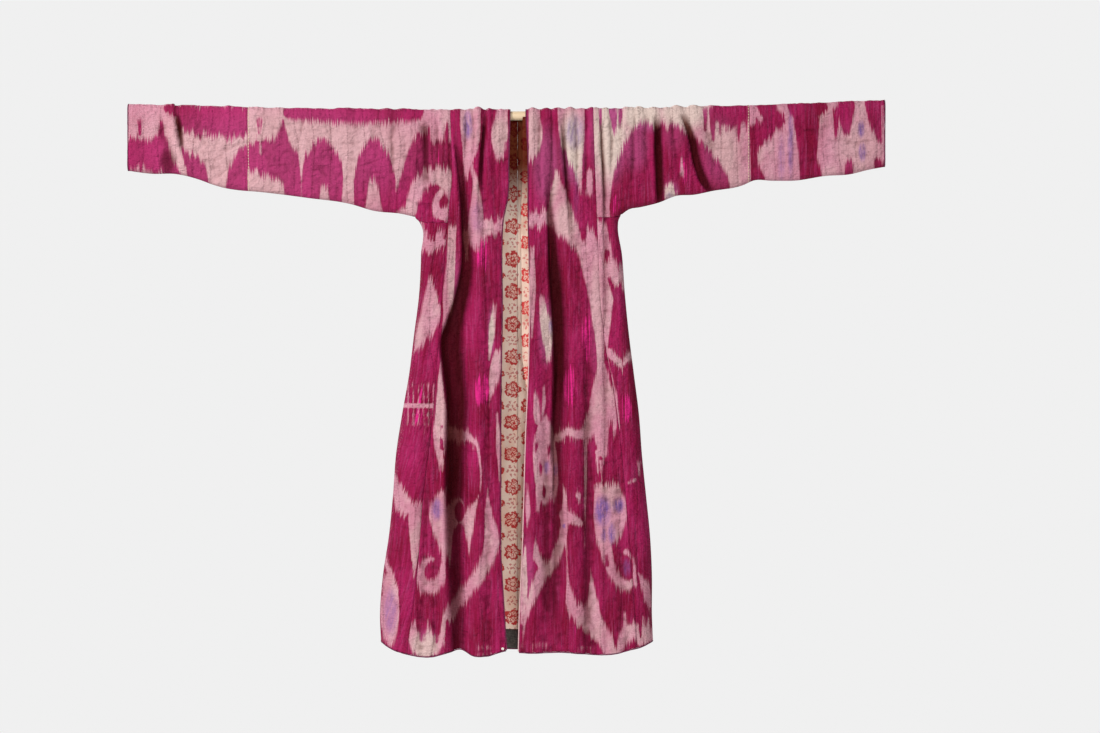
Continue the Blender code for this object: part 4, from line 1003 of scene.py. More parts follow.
class Graph:
    """Adds and links the shader nodes of one material."""

    def __init__(self, name):
        self.material = bpy.data.materials.new(name)
        self.material.use_nodes = True
        self.tree = self.material.node_tree
        self.shader = self.tree.nodes["Principled BSDF"]

    def put(self, socket, value):
        if isinstance(value, bpy.types.NodeSocket):
            self.tree.links.new(value, socket)
        elif hasattr(value, "__len__") and len(value) == 3 and socket.type == "RGBA":
            socket.default_value = (*value, 1.0)
        else:
            socket.default_value = value

    def add(self, kind, inputs, **settings):
        node = self.tree.nodes.new(kind)
        for name, value in settings.items():
            setattr(node, name, value)
        for socket, value in inputs.items():
            self.put(node.inputs[socket], value)
        return node

    def math(self, operation, *values):
        return self.add("ShaderNodeMath", dict(enumerate(values)), operation=operation).outputs[0]

    def total(self, *values):
        result = values[0]
        for value in values[1:]:
            result = self.math("ADD", result, value)
        return result

    def times(self, *values):
        result = values[0]
        for value in values[1:]:
            result = self.math("MULTIPLY", result, value)
        return result

    def step(self, value, low, high):
        """Smooth step of a value between two limits."""
        inputs = {0: value, 1: low, 2: high}
        return self.add("ShaderNodeMapRange", inputs, interpolation_type="SMOOTHSTEP").outputs[0]

    def attribute(self, name):
        return self.add("ShaderNodeAttribute", {}, attribute_name=name)

    def split(self, vector):
        node = self.add("ShaderNodeSeparateXYZ", {0: vector})
        return node.outputs[0], node.outputs[1], node.outputs[2]

    def scaled(self, vector, scale):
        return self.add("ShaderNodeVectorMath", {0: vector, 1: scale}, operation="MULTIPLY").outputs[0]

    def noise(self, vector, scale, detail=2.0, roughness=0.5):
        scaled = self.scaled(vector, scale)
        inputs = {"Vector": scaled, "Scale": 1.0, "Detail": detail, "Roughness": roughness}
        return self.add("ShaderNodeTexNoise", inputs).outputs[0]

    def centred(self, vector, scale, strength, detail=2.0):
        """Noise around nothing, up to about the strength either way."""
        return self.math("MULTIPLY_ADD", self.noise(vector, scale, detail), strength * 3, -strength * 1.5)

    def mix(self, factor, first, second, blend="MIX"):
        inputs = {0: factor, 6: first, 7: second}
        return self.add("ShaderNodeMix", inputs, data_type="RGBA", blend_type=blend).outputs[2]

    def finish(self, colour, roughness, height, distance, **constants):
        """Colour, roughness and bump go to the shader, and the constants to its own sockets."""
        self.put(self.shader.inputs["Base Color"], colour)
        self.put(self.shader.inputs["Roughness"], roughness)
        bump = self.add("ShaderNodeBump", {"Strength": 1.0, "Distance": distance, "Height": height})
        self.put(self.shader.inputs["Normal"], bump.outputs[0])
        for name, value in constants.items():
            self.put(self.shader.inputs[name.replace("_", " ")], value)
        return self.material


def linear(red, green, blue):
    """Linear colour from a display colour of 0 to 255."""
    return tuple(
        (c / 255 / 12.92) if c <= 10 else ((c / 255 + 0.055) / 1.055) ** 2.4 for c in (red, green, blue)
    )


MAGENTA = linear(185, 37, 102)
DEEP_MAGENTA = linear(126, 12, 46)
PINK = linear(222, 156, 176)
ROSE = linear(192, 118, 138)
LILAC_DYE = linear(128, 92, 158)
CREAM_CLOTH = linear(222, 198, 188)
FADED_AND_SHEEN_MAGENTA = linear(186, 90, 142)
HOT_PINK = linear(232, 44, 138)
# Colour that the painted shade of folds multiplies the cloth by
PAINTED_FOLD_SHADE = (0.15, 0.05, 0.035)
STITCHES_PER_CM = 1.5


def ikat_field(g, cloth):
    """Distance inside the dyed cloth, and how far its edge is blurred.

    Threads and bundles of threads slip along the warp, so edges across the warp are feathered and edges
    along it stay clean.
    """
    above, here, below = g.split(g.attribute("ikat").outputs["Vector"])
    bundles = g.centred(cloth, (1.3, 0.02, 1.0), 0.5, 1.0)
    threads = g.centred(cloth, (4.6, 0.06, 1.0), 1.0, 2.0)
    slip = g.math("MAXIMUM", g.math("MINIMUM", g.total(bundles, threads), 1.0), -1.0)
    slope = g.times(g.math("SUBTRACT", above, below), 0.5)
    bend = g.math("SUBTRACT", g.times(g.total(above, below), 0.5), here)
    slipped = g.total(here, g.times(slip, slope), g.times(slip, slip, bend))
    frayed = g.total(slipped, g.centred(cloth, (6.0, 0.8, 1.0), 0.09))
    blur = g.math("MULTIPLY_ADD", g.math("ABSOLUTE", slope), 0.32, 0.1)
    return g.math("DIVIDE", frayed, blur)


def ikat_material():
    """Silk warp tied and dyed, so that each thread starts its colour a little higher or lower."""
    g = Graph("ikat_silk")
    cloth = g.attribute("cloth").outputs["Vector"]
    tint = g.attribute("tint")
    lilac, cream, hot = g.split(tint.outputs["Vector"])
    dyed = g.step(ikat_field(g, cloth), -1.0, 1.0)
    threads = g.noise(cloth, (9.0, 0.22, 1.0), 3.0, 0.7)
    patches = g.noise(cloth, (0.16, 0.07, 1.0), 2.0)
    weft = g.noise(cloth, (0.5, 6.0, 1.0), 2.0)
    worn = g.total(g.times(threads, 0.5), g.times(weft, 0.3), g.times(patches, 0.5))
    pale = g.mix(g.step(worn, 0.42, 0.85), PINK, ROSE)
    clouds = g.step(g.noise(cloth, (0.22, 0.12, 2.0), 3.0), 0.42, 0.72)
    pale = g.mix(g.math("MAXIMUM", cream, g.times(clouds, 0.35)), pale, CREAM_CLOTH)
    spots = g.step(g.noise(cloth, (2.2, 0.35, 1.0), 3.0, 0.7), 0.34, 0.6)
    stained = g.times(lilac, g.math("MULTIPLY_ADD", spots, 0.6, 0.35))
    pale = g.mix(stained, pale, LILAC_DYE)
    u, v = g.split(cloth)[:2]
    bundles = g.noise(cloth, (1.7, 0.04, 1.0), 2.0)
    faded = g.total(g.times(threads, 0.45), g.times(bundles, 0.35), g.times(patches, 0.6))
    faded = g.total(faded, g.times(g.step(u, -34.0, -12.0), 0.1), -0.1)
    strong = g.mix(g.step(faded, 0.36, 0.9), MAGENTA, DEEP_MAGENTA)
    # Lighter magenta threads at random: partly faded threads, partly painted sheen
    faded_threads_and_sheen = g.step(g.noise(cloth, (3.4, 0.16, 2.0), 4.0, 0.7), 0.46, 0.74)
    strong = g.mix(g.math("MAXIMUM", g.times(cream, 0.75), g.times(faded_threads_and_sheen, 0.34)), strong, FADED_AND_SHEEN_MAGENTA)
    strong = g.mix(g.times(stained, 0.5), strong, LILAC_DYE)
    streaks = g.step(g.total(g.noise(cloth, (2.6, 0.07, 1.0), 1.0), g.times(hot, 0.36)), 0.78, 0.92)
    strong = g.mix(g.times(streaks, 0.85), strong, HOT_PINK)
    colour = g.mix(dyed, pale, strong)
    stitch = g.times(
        g.step(g.math("ABSOLUTE", g.attribute("quilt").outputs["Fac"]), 0.1, 0.05),
        g.step(g.math("FRACT", g.times(v, STITCHES_PER_CM)), 0.62, 0.55),
    )
    colour = g.mix(g.times(stitch, 0.14), colour, DEEP_MAGENTA)
    # Painted shade: the tint's alpha darkens the cloth in pleats, creases and the shaded spots of the stain
    # table
    colour = g.mix(tint.outputs["Alpha"], colour, g.mix(1.0, colour, PAINTED_FOLD_SHADE, "MULTIPLY"))
    wrinkles = g.noise(cloth, (0.9, 1.2, 1.0), 4.0, 0.62)
    puckers = g.noise(cloth, (0.5, 0.36, 1.0), 2.0)
    grain = g.total(
        g.times(threads, 0.25), g.times(weft, 0.3), g.times(wrinkles, 2.2), g.times(puckers, 2.4),
        g.times(stitch, -0.5),
    )
    gloss = g.math("MULTIPLY_ADD", threads, 0.2, 0.46)
    return g.finish(
        colour, gloss, grain, 0.0034, Specular_IOR_Level=0.06, Sheen_Weight=0.02, Sheen_Roughness=0.4,
        Sheen_Tint=linear(255, 180, 215),
    )


FLOWER_ACROSS, FLOWER_DOWN = 3.5, 7.1
FLOWER_X, FLOWER_Z = -1.1, -31.1


def lattice_place(g, u, v, shift):
    """Place in centimetres from the nearest point of a half-dropped lattice."""
    column = g.math("ROUND", g.times(g.math("SUBTRACT", u, FLOWER_X), 1 / FLOWER_ACROSS))
    off_u = g.math("SUBTRACT", g.math("SUBTRACT", u, FLOWER_X), g.times(column, FLOWER_ACROSS))
    drop = g.times(g.math("FLOORED_MODULO", column, 2.0), 0.5)
    rows = g.total(g.times(g.math("SUBTRACT", v, FLOWER_Z), 1 / FLOWER_DOWN), drop, shift)
    off_v = g.times(g.math("SUBTRACT", rows, g.math("ROUND", rows)), FLOWER_DOWN)
    return off_u, off_v


def polar(g, u, v):
    return g.math("POWER", g.total(g.times(u, u), g.times(v, v)), 0.5), g.math("ARCTAN2", v, u)


def lining_material(name, first, second):
    """Cream cotton printed with red flowers and rosettes of small dots, with painted shade that darkens it
    towards the neck.
    """
    g = Graph(name)
    cloth = g.attribute("cloth").outputs["Vector"]
    u, v = g.split(cloth)[:2]
    u = g.total(u, g.centred(cloth, (1.7, 1.7, 1.0), 0.5))
    v = g.total(v, g.centred(cloth, (1.9, 1.9, 2.0), 0.5))
    away, turn = polar(g, *lattice_place(g, u, v, 0.0))
    lobes = g.math("POWER", g.math("ABSOLUTE", g.math("COSINE", g.times(turn, 2.5))), 0.6)
    rim = g.math("MULTIPLY_ADD", lobes, 0.72, 0.86)
    outline = g.step(g.math("ABSOLUTE", g.math("SUBTRACT", away, rim)), 0.36, 0.2)
    between_petals = g.times(g.step(lobes, 0.62, 0.42), g.step(away, 1.35, 1.15), g.step(away, 0.4, 0.55))
    heart = g.step(g.math("ABSOLUTE", g.math("SUBTRACT", away, 0.4)), 0.2, 0.1)
    sides = g.math("ABSOLUTE", g.math("SINE", g.times(turn, 2.5)))
    veins = g.times(g.step(sides, 0.34, 0.16), g.step(away, 0.6, 0.8), g.step(away, 1.3, 1.1))
    flower = g.math("MAXIMUM", g.math("MAXIMUM", outline, between_petals), g.math("MAXIMUM", heart, veins))
    inner = g.step(g.math("SUBTRACT", rim, away), 0.0, 0.2)
    far, around = polar(g, *lattice_place(g, u, v, 0.5))
    sixth = math.pi / 3
    folded = g.math("SUBTRACT", around, g.times(g.math("ROUND", g.times(around, 1 / sixth)), sixth))
    dot_u = g.math("SUBTRACT", g.times(far, g.math("COSINE", folded)), 0.95)
    dot = polar(g, dot_u, g.times(far, g.math("SINE", folded)))[0]
    dots = g.step(g.math("MINIMUM", dot, far), 0.36, 0.22)
    weave = g.noise(cloth, (9.0, 9.0, 1.0), 3.0, 0.7)
    stains = g.noise(cloth, (0.35, 0.2, 1.0), 3.0)
    ground = g.mix(g.step(stains, 0.4, 0.75), first, second)
    ground = g.mix(g.times(g.step(weave, 0.45, 0.7), 0.3), ground, linear(214, 178, 148))
    ground = g.mix(g.times(inner, 0.22), ground, linear(220, 96, 96))
    colour = g.mix(g.times(flower, 0.94), ground, linear(196, 26, 36))
    colour = g.mix(g.times(dots, 0.7), colour, linear(196, 60, 66))
    # Painted shade: darker brown towards the neck, where the fronts and the rod shade the lining
    colour = g.mix(g.step(v, -24.0, -10.0), colour, linear(112, 56, 34), "MULTIPLY")
    grain = g.total(weave, g.times(g.noise(cloth, (1.2, 1.6, 1.0), 3.0), 1.5))
    looks = {"Specular_IOR_Level": 0.1, "Sheen_Weight": 0.02, "Sheen_Roughness": 0.6}
    return g.finish(colour, 0.85, grain, 0.0008, **looks)


def woven_material(name, first, second, roughness, scale):
    """A small plain cloth or braid: crossing threads of two near colours."""
    g = Graph(name)
    cloth = g.attribute("cloth").outputs["Vector"]
    warp = g.noise(cloth, (scale, scale * 0.2, 1.0), 2.0)
    weft = g.noise(cloth, (scale * 0.2, scale, 1.0), 2.0)
    crossing = g.times(g.total(warp, weft), 0.5)
    colour = g.mix(g.step(crossing, 0.38, 0.62), first, second)
    return g.finish(colour, roughness, crossing, 0.0006, Specular_IOR_Level=0.25, Sheen_Weight=0.15)


def piping_material():
    """Dark braid near the neck that gives way to a pale worn fold lower down."""
    g = Graph("edge_piping")
    cloth = g.attribute("cloth").outputs["Vector"]
    v = g.split(cloth)[1]
    weave = g.noise(cloth, (9.0, 2.0, 1.0), 2.0)
    worn = g.step(g.total(v, g.centred(cloth, (0.3, 0.4, 1.0), 4.0)), -26.0, -40.0)
    dark = g.mix(weave, linear(128, 30, 78), linear(78, 16, 50))
    pale = g.mix(weave, linear(232, 190, 190), linear(196, 148, 152))
    colour = g.mix(worn, dark, pale)
    return g.finish(colour, 0.75, weave, 0.0006, Specular_IOR_Level=0.2, Sheen_Weight=0.1)


def thread_material():
    g = Graph("cream_thread")
    cloth = g.add("ShaderNodeTexCoord", {}).outputs["Object"]
    twist = g.noise(cloth, (2500.0, 2500.0, 2500.0), 1.0)
    colour = g.mix(g.step(twist, 0.35, 0.65), linear(236, 214, 186), linear(206, 176, 150))
    return g.finish(colour, 0.7, twist, 0.0002, Specular_IOR_Level=0.2, Sheen_Weight=0.1)


def wood_material():
    """Pale planed wood with fine grain along the rod."""
    g = Graph("pale_wood")
    place = g.add("ShaderNodeTexCoord", {}).outputs["Object"]
    grain = g.noise(place, (6.0, 420.0, 420.0), 4.0, 0.6)
    broad = g.noise(place, (9.0, 60.0, 60.0), 3.0)
    colour = g.mix(g.step(grain, 0.35, 0.7), linear(240, 218, 186), linear(214, 182, 140))
    colour = g.mix(g.times(g.step(broad, 0.45, 0.7), 0.5), colour, linear(226, 196, 156))
    return g.finish(colour, 0.55, grain, 0.0004, Specular_IOR_Level=0.4, Coat_Weight=0.1)


def bead_material():
    g = Graph("white_bead")
    place = g.add("ShaderNodeTexCoord", {}).outputs["Object"]
    cloudy = g.noise(place, (900.0, 900.0, 900.0), 2.0)
    colour = g.mix(g.step(cloudy, 0.4, 0.65), linear(240, 234, 226), linear(220, 206, 196))
    return g.finish(colour, 0.3, cloudy, 0.0001, Coat_Weight=0.3)


def floor_material():
    g = Graph("pale_floor")
    place = g.add("ShaderNodeTexCoord", {}).outputs["Object"]
    mottle = g.noise(place, (3.0, 3.0, 3.0), 3.0)
    colour = g.mix(mottle, (0.80, 0.80, 0.80), (0.84, 0.84, 0.84))
    return g.finish(colour, 0.9, mottle, 0.001, Specular_IOR_Level=0.1)


IKAT_SILK = ikat_material()
# One printed cotton in two copies: the lining's ground is painted lighter, as painted light against the shade
# in the open front, and the facing's darker, as painted shade where light falls on its turned edge
LINING = lining_material("lining_print_painted_light", linear(255, 234, 218), linear(246, 206, 184))
FACING_PRINT_PAINTED_SHADE = lining_material("facing_print_painted_shade", linear(226, 194, 176), linear(196, 156, 138))
FACING = woven_material("dark_facing", linear(84, 80, 74), linear(52, 48, 46), 0.85, 8.0)
BRAID = woven_material("edging_braid", linear(128, 30, 78), linear(78, 16, 50), 0.7, 9.0)
PIPING = piping_material()
THREAD = thread_material()


def between(first, last, column):
    """Place function: x from z, part of the way from one edge line to another."""
    return lambda z: first(z) + (last(z) - first(z)) * column


def seam_line(side):
    return lambda z: seam_x(side, z) - DIRECTION[side] * SEAM_GAP / 2


def edge_line(side):
    column = 1 if side == "left" else 2
    return lambda z: curve(FRONT_EDGES, column, z)


def cloth_edge_line(side):
    edge = edge_line(side)
    return lambda z: edge(z) + DIRECTION[side] * (EDGING_WIDTH + SEAM_GAP)


def middle_line(side):
    return lambda z: DIRECTION[side] * SEAM_GAP / 2 + 0.0 * z


def wall_rows(first_turn, cell):
    """Rows of a front or back from the rod to the hem, as body_point counts them."""
    rows = steps(first_turn, 1.0, 32.0, cell)
    rows += steps(1.0, 2.0, 230.0 - ROUND_HEIGHT, cell)
    rows += steps(2.0, 3.0, ROUND_HEIGHT, cell)
    rows += steps(3.0, 4.0, 935.0, cell)
    return rows + [4.0]


CREST_ROW = SEAM_GAP / 2 / REST_RADIUS / (math.pi / 2)


def front_columns(side, cell=FRONT_CELL):
    return steps(0.0, 1.0, 165.0, cell) + [1.0]


def back_columns(side, cell=BACK_CELL):
    half_width = abs(seam_x(side, 0.0))
    neck = 1 - NECK_HALF / half_width
    foot = 1 - (NECK_HALF - NECK_FADE) / half_width
    columns = steps(0.0, neck, half_width - NECK_HALF, cell)
    columns += steps(neck, foot, NECK_FADE, cell / 2)
    return columns + steps(foot, 1.0, NECK_HALF - NECK_FADE, cell) + [1.0]


def gore_columns(cell=GORE_CELL):
    half = steps(0.0, 0.5, 40.0, cell) + steps(0.5, 1.0, 60.0, cell)
    return half + [1.0] + [2 - c for c in reversed(half)]


def sleeve_rows(length, cell=FRONT_CELL):
    """Rows round a sleeve, from its lower seam in front over the rod to its lower seam behind."""
    half = steps(0.0, 1.0, 24.0, cell) + steps(1.0, 2.0, length, cell) + steps(2.0, 3.0, 24.0, cell) + [3.0]
    return [-row for row in reversed(half[1:])] + half


def build_front(side):
    place = (seam_line(side), cloth_edge_line(side))

    def point(column, row):
        return body_point(side, FRONT, between(*place, column), row)

    rows = wall_rows(CREST_ROW, FRONT_CELL)
    return shell(
        f"cloth_front_{side}", point, front_columns(side), rows, WALL, (IKAT_SILK, LINING),
        chart=f"front_{side}",
    )


def build_back(side):
    def point(column, row):
        return body_point(side, BACK, between(seam_line(side), middle_line(side), column), row)

    rows = wall_rows(CREST_ROW, BACK_CELL)
    return shell(
        f"cloth_back_{side}", point, back_columns(side), rows, WALL, (IKAT_SILK, LINING),
        chart=f"front_{side}",
    )


def build_gore(side):
    def point(column, row):
        return gore_point(side, column, row)

    rows = steps(3.0, 4.0, 920.0, GORE_CELL) + [4.0]
    return shell(
        f"cloth_gore_{side}", point, gore_columns(), rows, WALL, (IKAT_SILK, LINING), chart=f"gore_{side}",
    )


def build_sleeve(side):
    """Upper and lower piece of a sleeve, and the braid round its cuff."""
    start, tip = sleeve_start(side)
    to_seam = abs(SLEEVE_SEAM[side] - start)
    to_cuff = abs(CUFF[side] - start)
    to_edging = to_cuff - EDGING_WIDTH - SEAM_GAP

    def point(along, around):
        return sleeve_point(side, along, around)

    seam_from = SEAM_GAP / 2
    upper = steps(-(to_seam - seam_from), -tip, to_seam - tip, FRONT_CELL)
    upper += [-tip * math.sin(math.radians(a)) for a in (90, 75, 60, 45, 32, 20, 10)]
    upper += steps(0.0, 1.0, 60.0, FRONT_CELL) + [1.0]
    lower = steps(-to_edging, -(to_seam + seam_from), to_edging - to_seam, FRONT_CELL)
    lower.append(-(to_seam + seam_from))
    edging = (-to_cuff, -(to_cuff - EDGING_WIDTH / 2), -(to_cuff - EDGING_WIDTH))
    rows = sleeve_rows(165.0)
    low_rows = sleeve_rows(125.0)
    finish = (IKAT_SILK, LINING)
    return (
        shell(f"cloth_sleeve_upper_{side}", point, upper, rows, WALL, finish, chart=f"sleeve_upper_{side}"),
        shell(
            f"cloth_sleeve_lower_{side}", point, lower, low_rows, WALL, finish,
            chart=f"sleeve_lower_{side}",
        ),
        shell(f"braid_cuff_{side}", point, edging, low_rows, EDGING_WALL, (BRAID, BRAID)),
    )


def build_lining(side):
    """Printed lining and dark hem facing inside the back, where the open front shows them."""
    columns = [column for column in back_columns(side, LINING_CELL) if column > LINING_FROM]
    shift = -(WALL / 2 + SEAM_GAP + LINING_WALL / 2)

    def point(column, row):
        return body_point(side, BACK, between(seam_line(side), middle_line(side), column), row)

    rows = [row for row in wall_rows(CREST_ROW, LINING_CELL) if 1.01 < row <= LINING_LAST_ROW]
    rows.append(LINING_LAST_ROW)
    low_rows = steps(LINING_LAST_ROW + SEAM_GAP * MM, 4.0, 40.0, LINING_CELL) + [4.0]
    return (
        shell(f"print_lining_{side}", point, columns, rows, LINING_WALL, (LINING, LINING), shift),
        shell(f"dark_facing_{side}", point, columns, low_rows, LINING_WALL, (FACING, FACING), shift),
    )


def build_front_facing():
    """Lining of the right front, turned a little past its edge."""
    seam, edge = seam_line("right"), cloth_edge_line("right")
    near = 15 / 16

    def place_of(column):
        def place(z):
            hidden = seam(z) + (edge(z) - seam(z)) * (near + (1 - near) * np.minimum(column, 1.0))
            shown = ease((z - FACING_FOOT) / FACING_TAPER)
            return hidden + (curve(FRONT_EDGES, 3, z) - edge(z)) * shown * np.clip(column - 1.0, 0.0, 2.0)
        return place

    def point(column, row):
        return body_point("right", FRONT, place_of(column), row)

    rows = [row for row in wall_rows(CREST_ROW, FRONT_CELL) if 1.01 < row <= FACING_LAST_ROW]
    shift = -(EDGING_WALL / 2 + SEAM_GAP + LINING_WALL / 2)
    columns = steps(0.0, 2.0, 30.0, FRONT_CELL) + [2.0]
    # The facing takes the copy of the print that is painted darker as painted shade
    finish = (FACING_PRINT_PAINTED_SHADE, FACING_PRINT_PAINTED_SHADE)
    return shell("print_facing_right", point, columns, rows, LINING_WALL, finish, shift)


STITCH_LENGTH = 4.6
STITCH_PITCH = 6.4
STITCH_RADIUS = 0.85
STITCH_RINGS = ((-0.5, 0.35), (-0.3, 1.0), (0.3, 1.0), (0.5, 0.35))
STITCH_SIDES = 6
STITCH_FROM_SEAM = 2.6
STITCH_LAST_ROW = 2.9
STITCH_LINE = 300.0
STITCH_CELL = 4.0
BEAD_PLACE = (-31.5, -1155.0)
BEAD_ROW = 3.97
BEAD_RADIUS = 3.2
BEAD_LIFT = 0.7


def stitched_row(name, line, outward):
    """Running stitches laid along a line, with the cloth's outward direction at each of its points."""
    lengths = np.concatenate([[0.0], np.linalg.norm(np.diff(line, axis=0), axis=1).cumsum()])
    turns = np.arange(STITCH_SIDES) * 2 * math.pi / STITCH_SIDES
    spots, faces = [], []
    for at in np.arange(STITCH_PITCH, lengths[-1] - STITCH_PITCH, STITCH_PITCH):
        centre = np.array([np.interp(at, lengths, line[:, k]) for k in range(3)])
        ahead = np.array([np.interp(at + 1.0, lengths, line[:, k]) for k in range(3)]) - centre
        up = np.array([np.interp(at, lengths, outward[:, k]) for k in range(3)])
        ahead /= np.linalg.norm(ahead)
        across = np.cross(up, ahead)
        first = len(spots)
        for along, size in STITCH_RINGS:
            for turn in turns:
                lift = up * math.cos(turn) + across * math.sin(turn)
                spots.append(centre + ahead * along * STITCH_LENGTH + lift * STITCH_RADIUS * size)
        for ring in range(len(STITCH_RINGS) - 1):
            for n in range(STITCH_SIDES):
                a, b = first + ring * STITCH_SIDES + n, first + ring * STITCH_SIDES + (n + 1) % STITCH_SIDES
                faces.append((a, b, b + STITCH_SIDES, a + STITCH_SIDES))
        last = first + (len(STITCH_RINGS) - 1) * STITCH_SIDES
        faces.append(tuple(range(first + STITCH_SIDES - 1, first - 1, -1)))
        faces.append(tuple(range(last, last + STITCH_SIDES)))
    mesh = bpy.data.meshes.new(name)
    mesh.from_pydata([tuple(spot * MM) for spot in spots], [], faces)
    mesh.shade_smooth()
    mesh.materials.append(THREAD)
    thing = bpy.data.objects.new(name, mesh)
    bpy.context.scene.collection.objects.link(thing)
    return thing


def outer_line(point, column, rows, shift):
    """Points along one column of a surface, moved out of the cloth, and the outward direction there."""
    u, v = np.meshgrid(np.array([column - 1e-3, column, column + 1e-3]), np.array(rows), indexing="ij")
    middle = point(u, v)
    normal = np.cross(middle[2] - middle[0], np.gradient(middle[1], axis=0))
    normal /= np.maximum(np.linalg.norm(normal, axis=-1, keepdims=True), 1e-9)
    if np.sum(normal[:, 1] * middle[1][:, 1]) < 0:
        normal = -normal
    return middle[1] + normal * shift, normal


def build_stitches(side):
    """Pale running stitches beside the seam where the lower sleeve joins the upper one."""
    start = sleeve_start(side)[0]
    along = -(abs(SLEEVE_SEAM[side] - start) - STITCH_FROM_SEAM)
    rows = steps(-STITCH_LAST_ROW, STITCH_LAST_ROW, STITCH_LINE, STITCH_CELL) + [STITCH_LAST_ROW]
    lift = WALL / 2 + STITCH_RADIUS * 0.5
    line, outward = outer_line(lambda column, row: sleeve_point(side, column, row), along, rows, lift)
    return stitched_row(f"sleeve_stitches_{side}", line, outward)


def build_bead():
    """Small white bead at the lower corner of the left front."""
    x, z = BEAD_PLACE
    front = body_point("left", FRONT, lambda level: x + 0.0 * level, np.array([BEAD_ROW]))[0]
    mesh = bpy.data.meshes.new("hem_bead")
    shape = bmesh.new()
    bmesh.ops.create_uvsphere(shape, u_segments=20, v_segments=12, radius=BEAD_RADIUS * MM)
    shape.to_mesh(mesh)
    shape.free()
    mesh.transform(Matrix.Translation((x * MM, (front[1] - WALL / 2 - BEAD_RADIUS * BEAD_LIFT) * MM, z * MM)))
    mesh.shade_smooth()
    mesh.materials.append(bead_material())
    thing = bpy.data.objects.new("hem_bead", mesh)
    bpy.context.scene.collection.objects.link(thing)
    return thing


def build_edgings(side):
    """Narrow braid down the front edge and under the hem of the front, back and gore."""
    away = DIRECTION[side]
    edge = edge_line(side)

    def down(column, row):
        return body_point(side, FRONT, lambda z: edge(z) + away * EDGING_WIDTH * column, row)

    def front(column, row):
        place = between(seam_line(side), cloth_edge_line(side), column)
        return body_point(side, FRONT, place, row, trim=True)

    def back(column, row):
        place = between(seam_line(side), middle_line(side), column)
        return body_point(side, BACK, place, row, trim=True)

    def gore(column, row):
        return gore_point(side, column, row, trim=True)

    across = (0.0, 0.5, 1.0)
    hem_rows = (4.0, 4.5, 5.0)
    finish = (BRAID, BRAID)
    rows = wall_rows(CREST_ROW, FRONT_CELL)
    edge_finish = (PIPING, PIPING) if side == "right" else finish
    return (
        shell(f"braid_front_{side}", down, across, rows, EDGING_WALL, edge_finish),
        shell(f"braid_hem_front_{side}", front, front_columns(side), hem_rows, EDGING_WALL, finish),
        shell(f"braid_hem_back_{side}", back, back_columns(side), hem_rows, EDGING_WALL, finish),
        shell(f"braid_hem_gore_{side}", gore, gore_columns(), hem_rows, EDGING_WALL, finish),
    )


CAMERA_LENS = 120.0
SENSOR = 36.0
FRAME_WIDTH = 2.3925
FRAME_CENTRE = (0.0707, -0.545)
FLOOR_RADIUS = 2.6
FLOOR_HEIGHT = -1.75
FLOOR_SIDES = 96
KEY_PLACE = (-3.4, -3.3, 1.6)
KEY_AIM = (0.0, 0.0, -0.55)
KEY_POWER = 195.0
KEY_SIZE = 1.5
SUNS = (
    # name, degrees left of straight in front, degrees up, strength, degrees across
    ("fill", -8, 10, 1.15, 20),
    ("back", 150, 30, 2.0, 30),
)
SKY = 0.2
BACKDROP = 0.871


def build_world():
    """Pale studio surroundings: full strength as a backdrop, weaker as light on the cloth."""
    world = bpy.data.worlds.new("studio")
    world.use_nodes = True
    tree = world.node_tree
    light = tree.nodes["Background"]
    light.inputs["Color"].default_value = (1.0, 1.0, 1.0, 1.0)
    light.inputs["Strength"].default_value = SKY
    seen = tree.nodes.new("ShaderNodeBackground")
    seen.inputs["Color"].default_value = (1.0, 1.0, 1.0, 1.0)
    seen.inputs["Strength"].default_value = BACKDROP
    path = tree.nodes.new("ShaderNodeLightPath")
    either = tree.nodes.new("ShaderNodeMixShader")
    tree.links.new(path.outputs["Is Camera Ray"], either.inputs[0])
    tree.links.new(light.outputs[0], either.inputs[1])
    tree.links.new(seen.outputs[0], either.inputs[2])
    tree.links.new(either.outputs[0], tree.nodes["World Output"].inputs["Surface"])
    bpy.context.scene.world = world


def build_lights():
    """Large soft key light up on the left, a faint fill from the right and a light for the back."""
    lamp = bpy.data.lights.new("key", "AREA")
    lamp.energy = KEY_POWER
    lamp.size = KEY_SIZE
    key = bpy.data.objects.new("key", lamp)
    key.location = KEY_PLACE
    aim = Vector(KEY_AIM) - Vector(KEY_PLACE)
    key.rotation_euler = aim.to_track_quat("-Z", "Y").to_euler()
    bpy.context.scene.collection.objects.link(key)
    for name, left, up, strength, across in SUNS:
        lamp = bpy.data.lights.new(name, "SUN")
        lamp.energy = strength
        lamp.angle = math.radians(across)
        sun = bpy.data.objects.new(name, lamp)
        sun.rotation_euler = (math.radians(90 - up), 0.0, -math.radians(left))
        bpy.context.scene.collection.objects.link(sun)


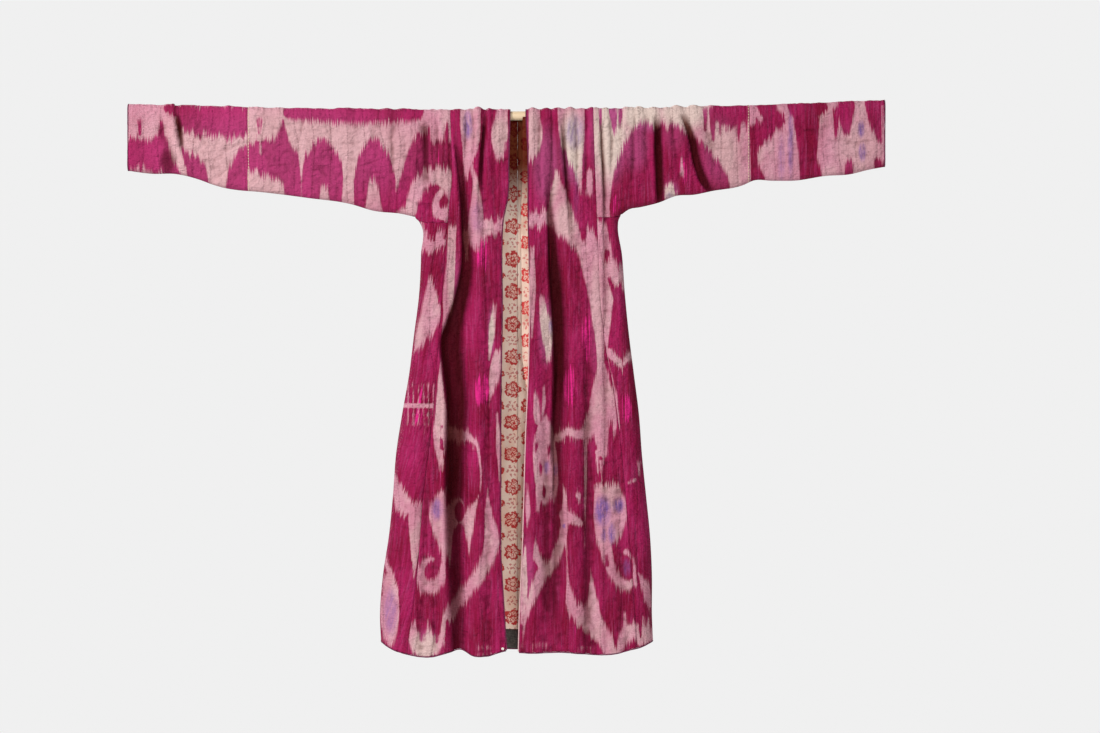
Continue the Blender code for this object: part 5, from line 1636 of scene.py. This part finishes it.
def build_floor():
    floor = bpy.data.meshes.new("floor")
    turns = np.linspace(0, 2 * math.pi, FLOOR_SIDES + 1)[:-1]
    rim = [(FLOOR_RADIUS * math.cos(a), FLOOR_RADIUS * math.sin(a), FLOOR_HEIGHT) for a in turns]
    floor.from_pydata(rim, [], [tuple(range(len(rim)))])
    floor.materials.append(floor_material())
    disc = bpy.data.objects.new("floor", floor)
    bpy.context.scene.collection.objects.link(disc)


def build_camera():
    camera = bpy.data.cameras.new("camera")
    camera.lens = CAMERA_LENS
    camera.sensor_width = SENSOR
    viewer = bpy.data.objects.new("camera", camera)
    viewer.location = (FRAME_CENTRE[0], -FRAME_WIDTH * CAMERA_LENS / SENSOR, FRAME_CENTRE[1])
    viewer.rotation_euler = (math.pi / 2, 0.0, 0.0)
    bpy.context.scene.collection.objects.link(viewer)
    bpy.context.scene.camera = viewer


def build_stage():
    """Pale round floor below the robe, soft lights and the camera straight in front."""
    build_floor()
    build_world()
    build_lights()
    build_camera()
    bpy.context.scene.view_settings.view_transform = "Standard"


def dress(piece, slot, *nodes):
    """A piece rides on the one body and stands for its solids, which are hidden. The slot is not used."""
    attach(piece, "root")
    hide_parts(*nodes)
    return piece


def build_robe():
    for side in ("left", "right"):
        front = dress(build_front(side), "ikat_cloth", f"front_{side}")
        back = dress(build_back(side), "ikat_cloth", f"back_{side}")
        gore = dress(build_gore(side), "ikat_cloth", f"gore_{side}")
        upper, lower, cuff = build_sleeve(side)
        dress(upper, "ikat_cloth", f"sleeve_upper_{side}")
        dress(lower, "ikat_cloth", f"sleeve_lower_{side}")
        dress(cuff, "edging_braid", f"edging_cuff_{side}")
        lining, facing = build_lining(side)
        dress(lining, "lining_cotton", f"lining_{side}")
        dress(facing, "facing_cloth", f"hem_facing_{side}")
        edge, hem_front, hem_back, hem_gore = build_edgings(side)
        dress(edge, "edging_braid", f"edging_front_{side}")
        dress(hem_front, "edging_braid", f"edging_hem_front_{side}")
        dress(hem_back, "edging_braid", f"edging_hem_back_{side}")
        dress(hem_gore, "edging_braid", f"edging_hem_gore_{side}")
        stitches = build_stitches(side)
        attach(stitches, "root")
    bead = build_bead()
    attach(bead, "root")
    right_facing = dress(build_front_facing(), "lining_cotton", "front_facing_right")


build_robe()
bpy.data.objects["rod"].data.materials.clear()
bpy.data.objects["rod"].data.materials.append(wood_material())
build_stage()
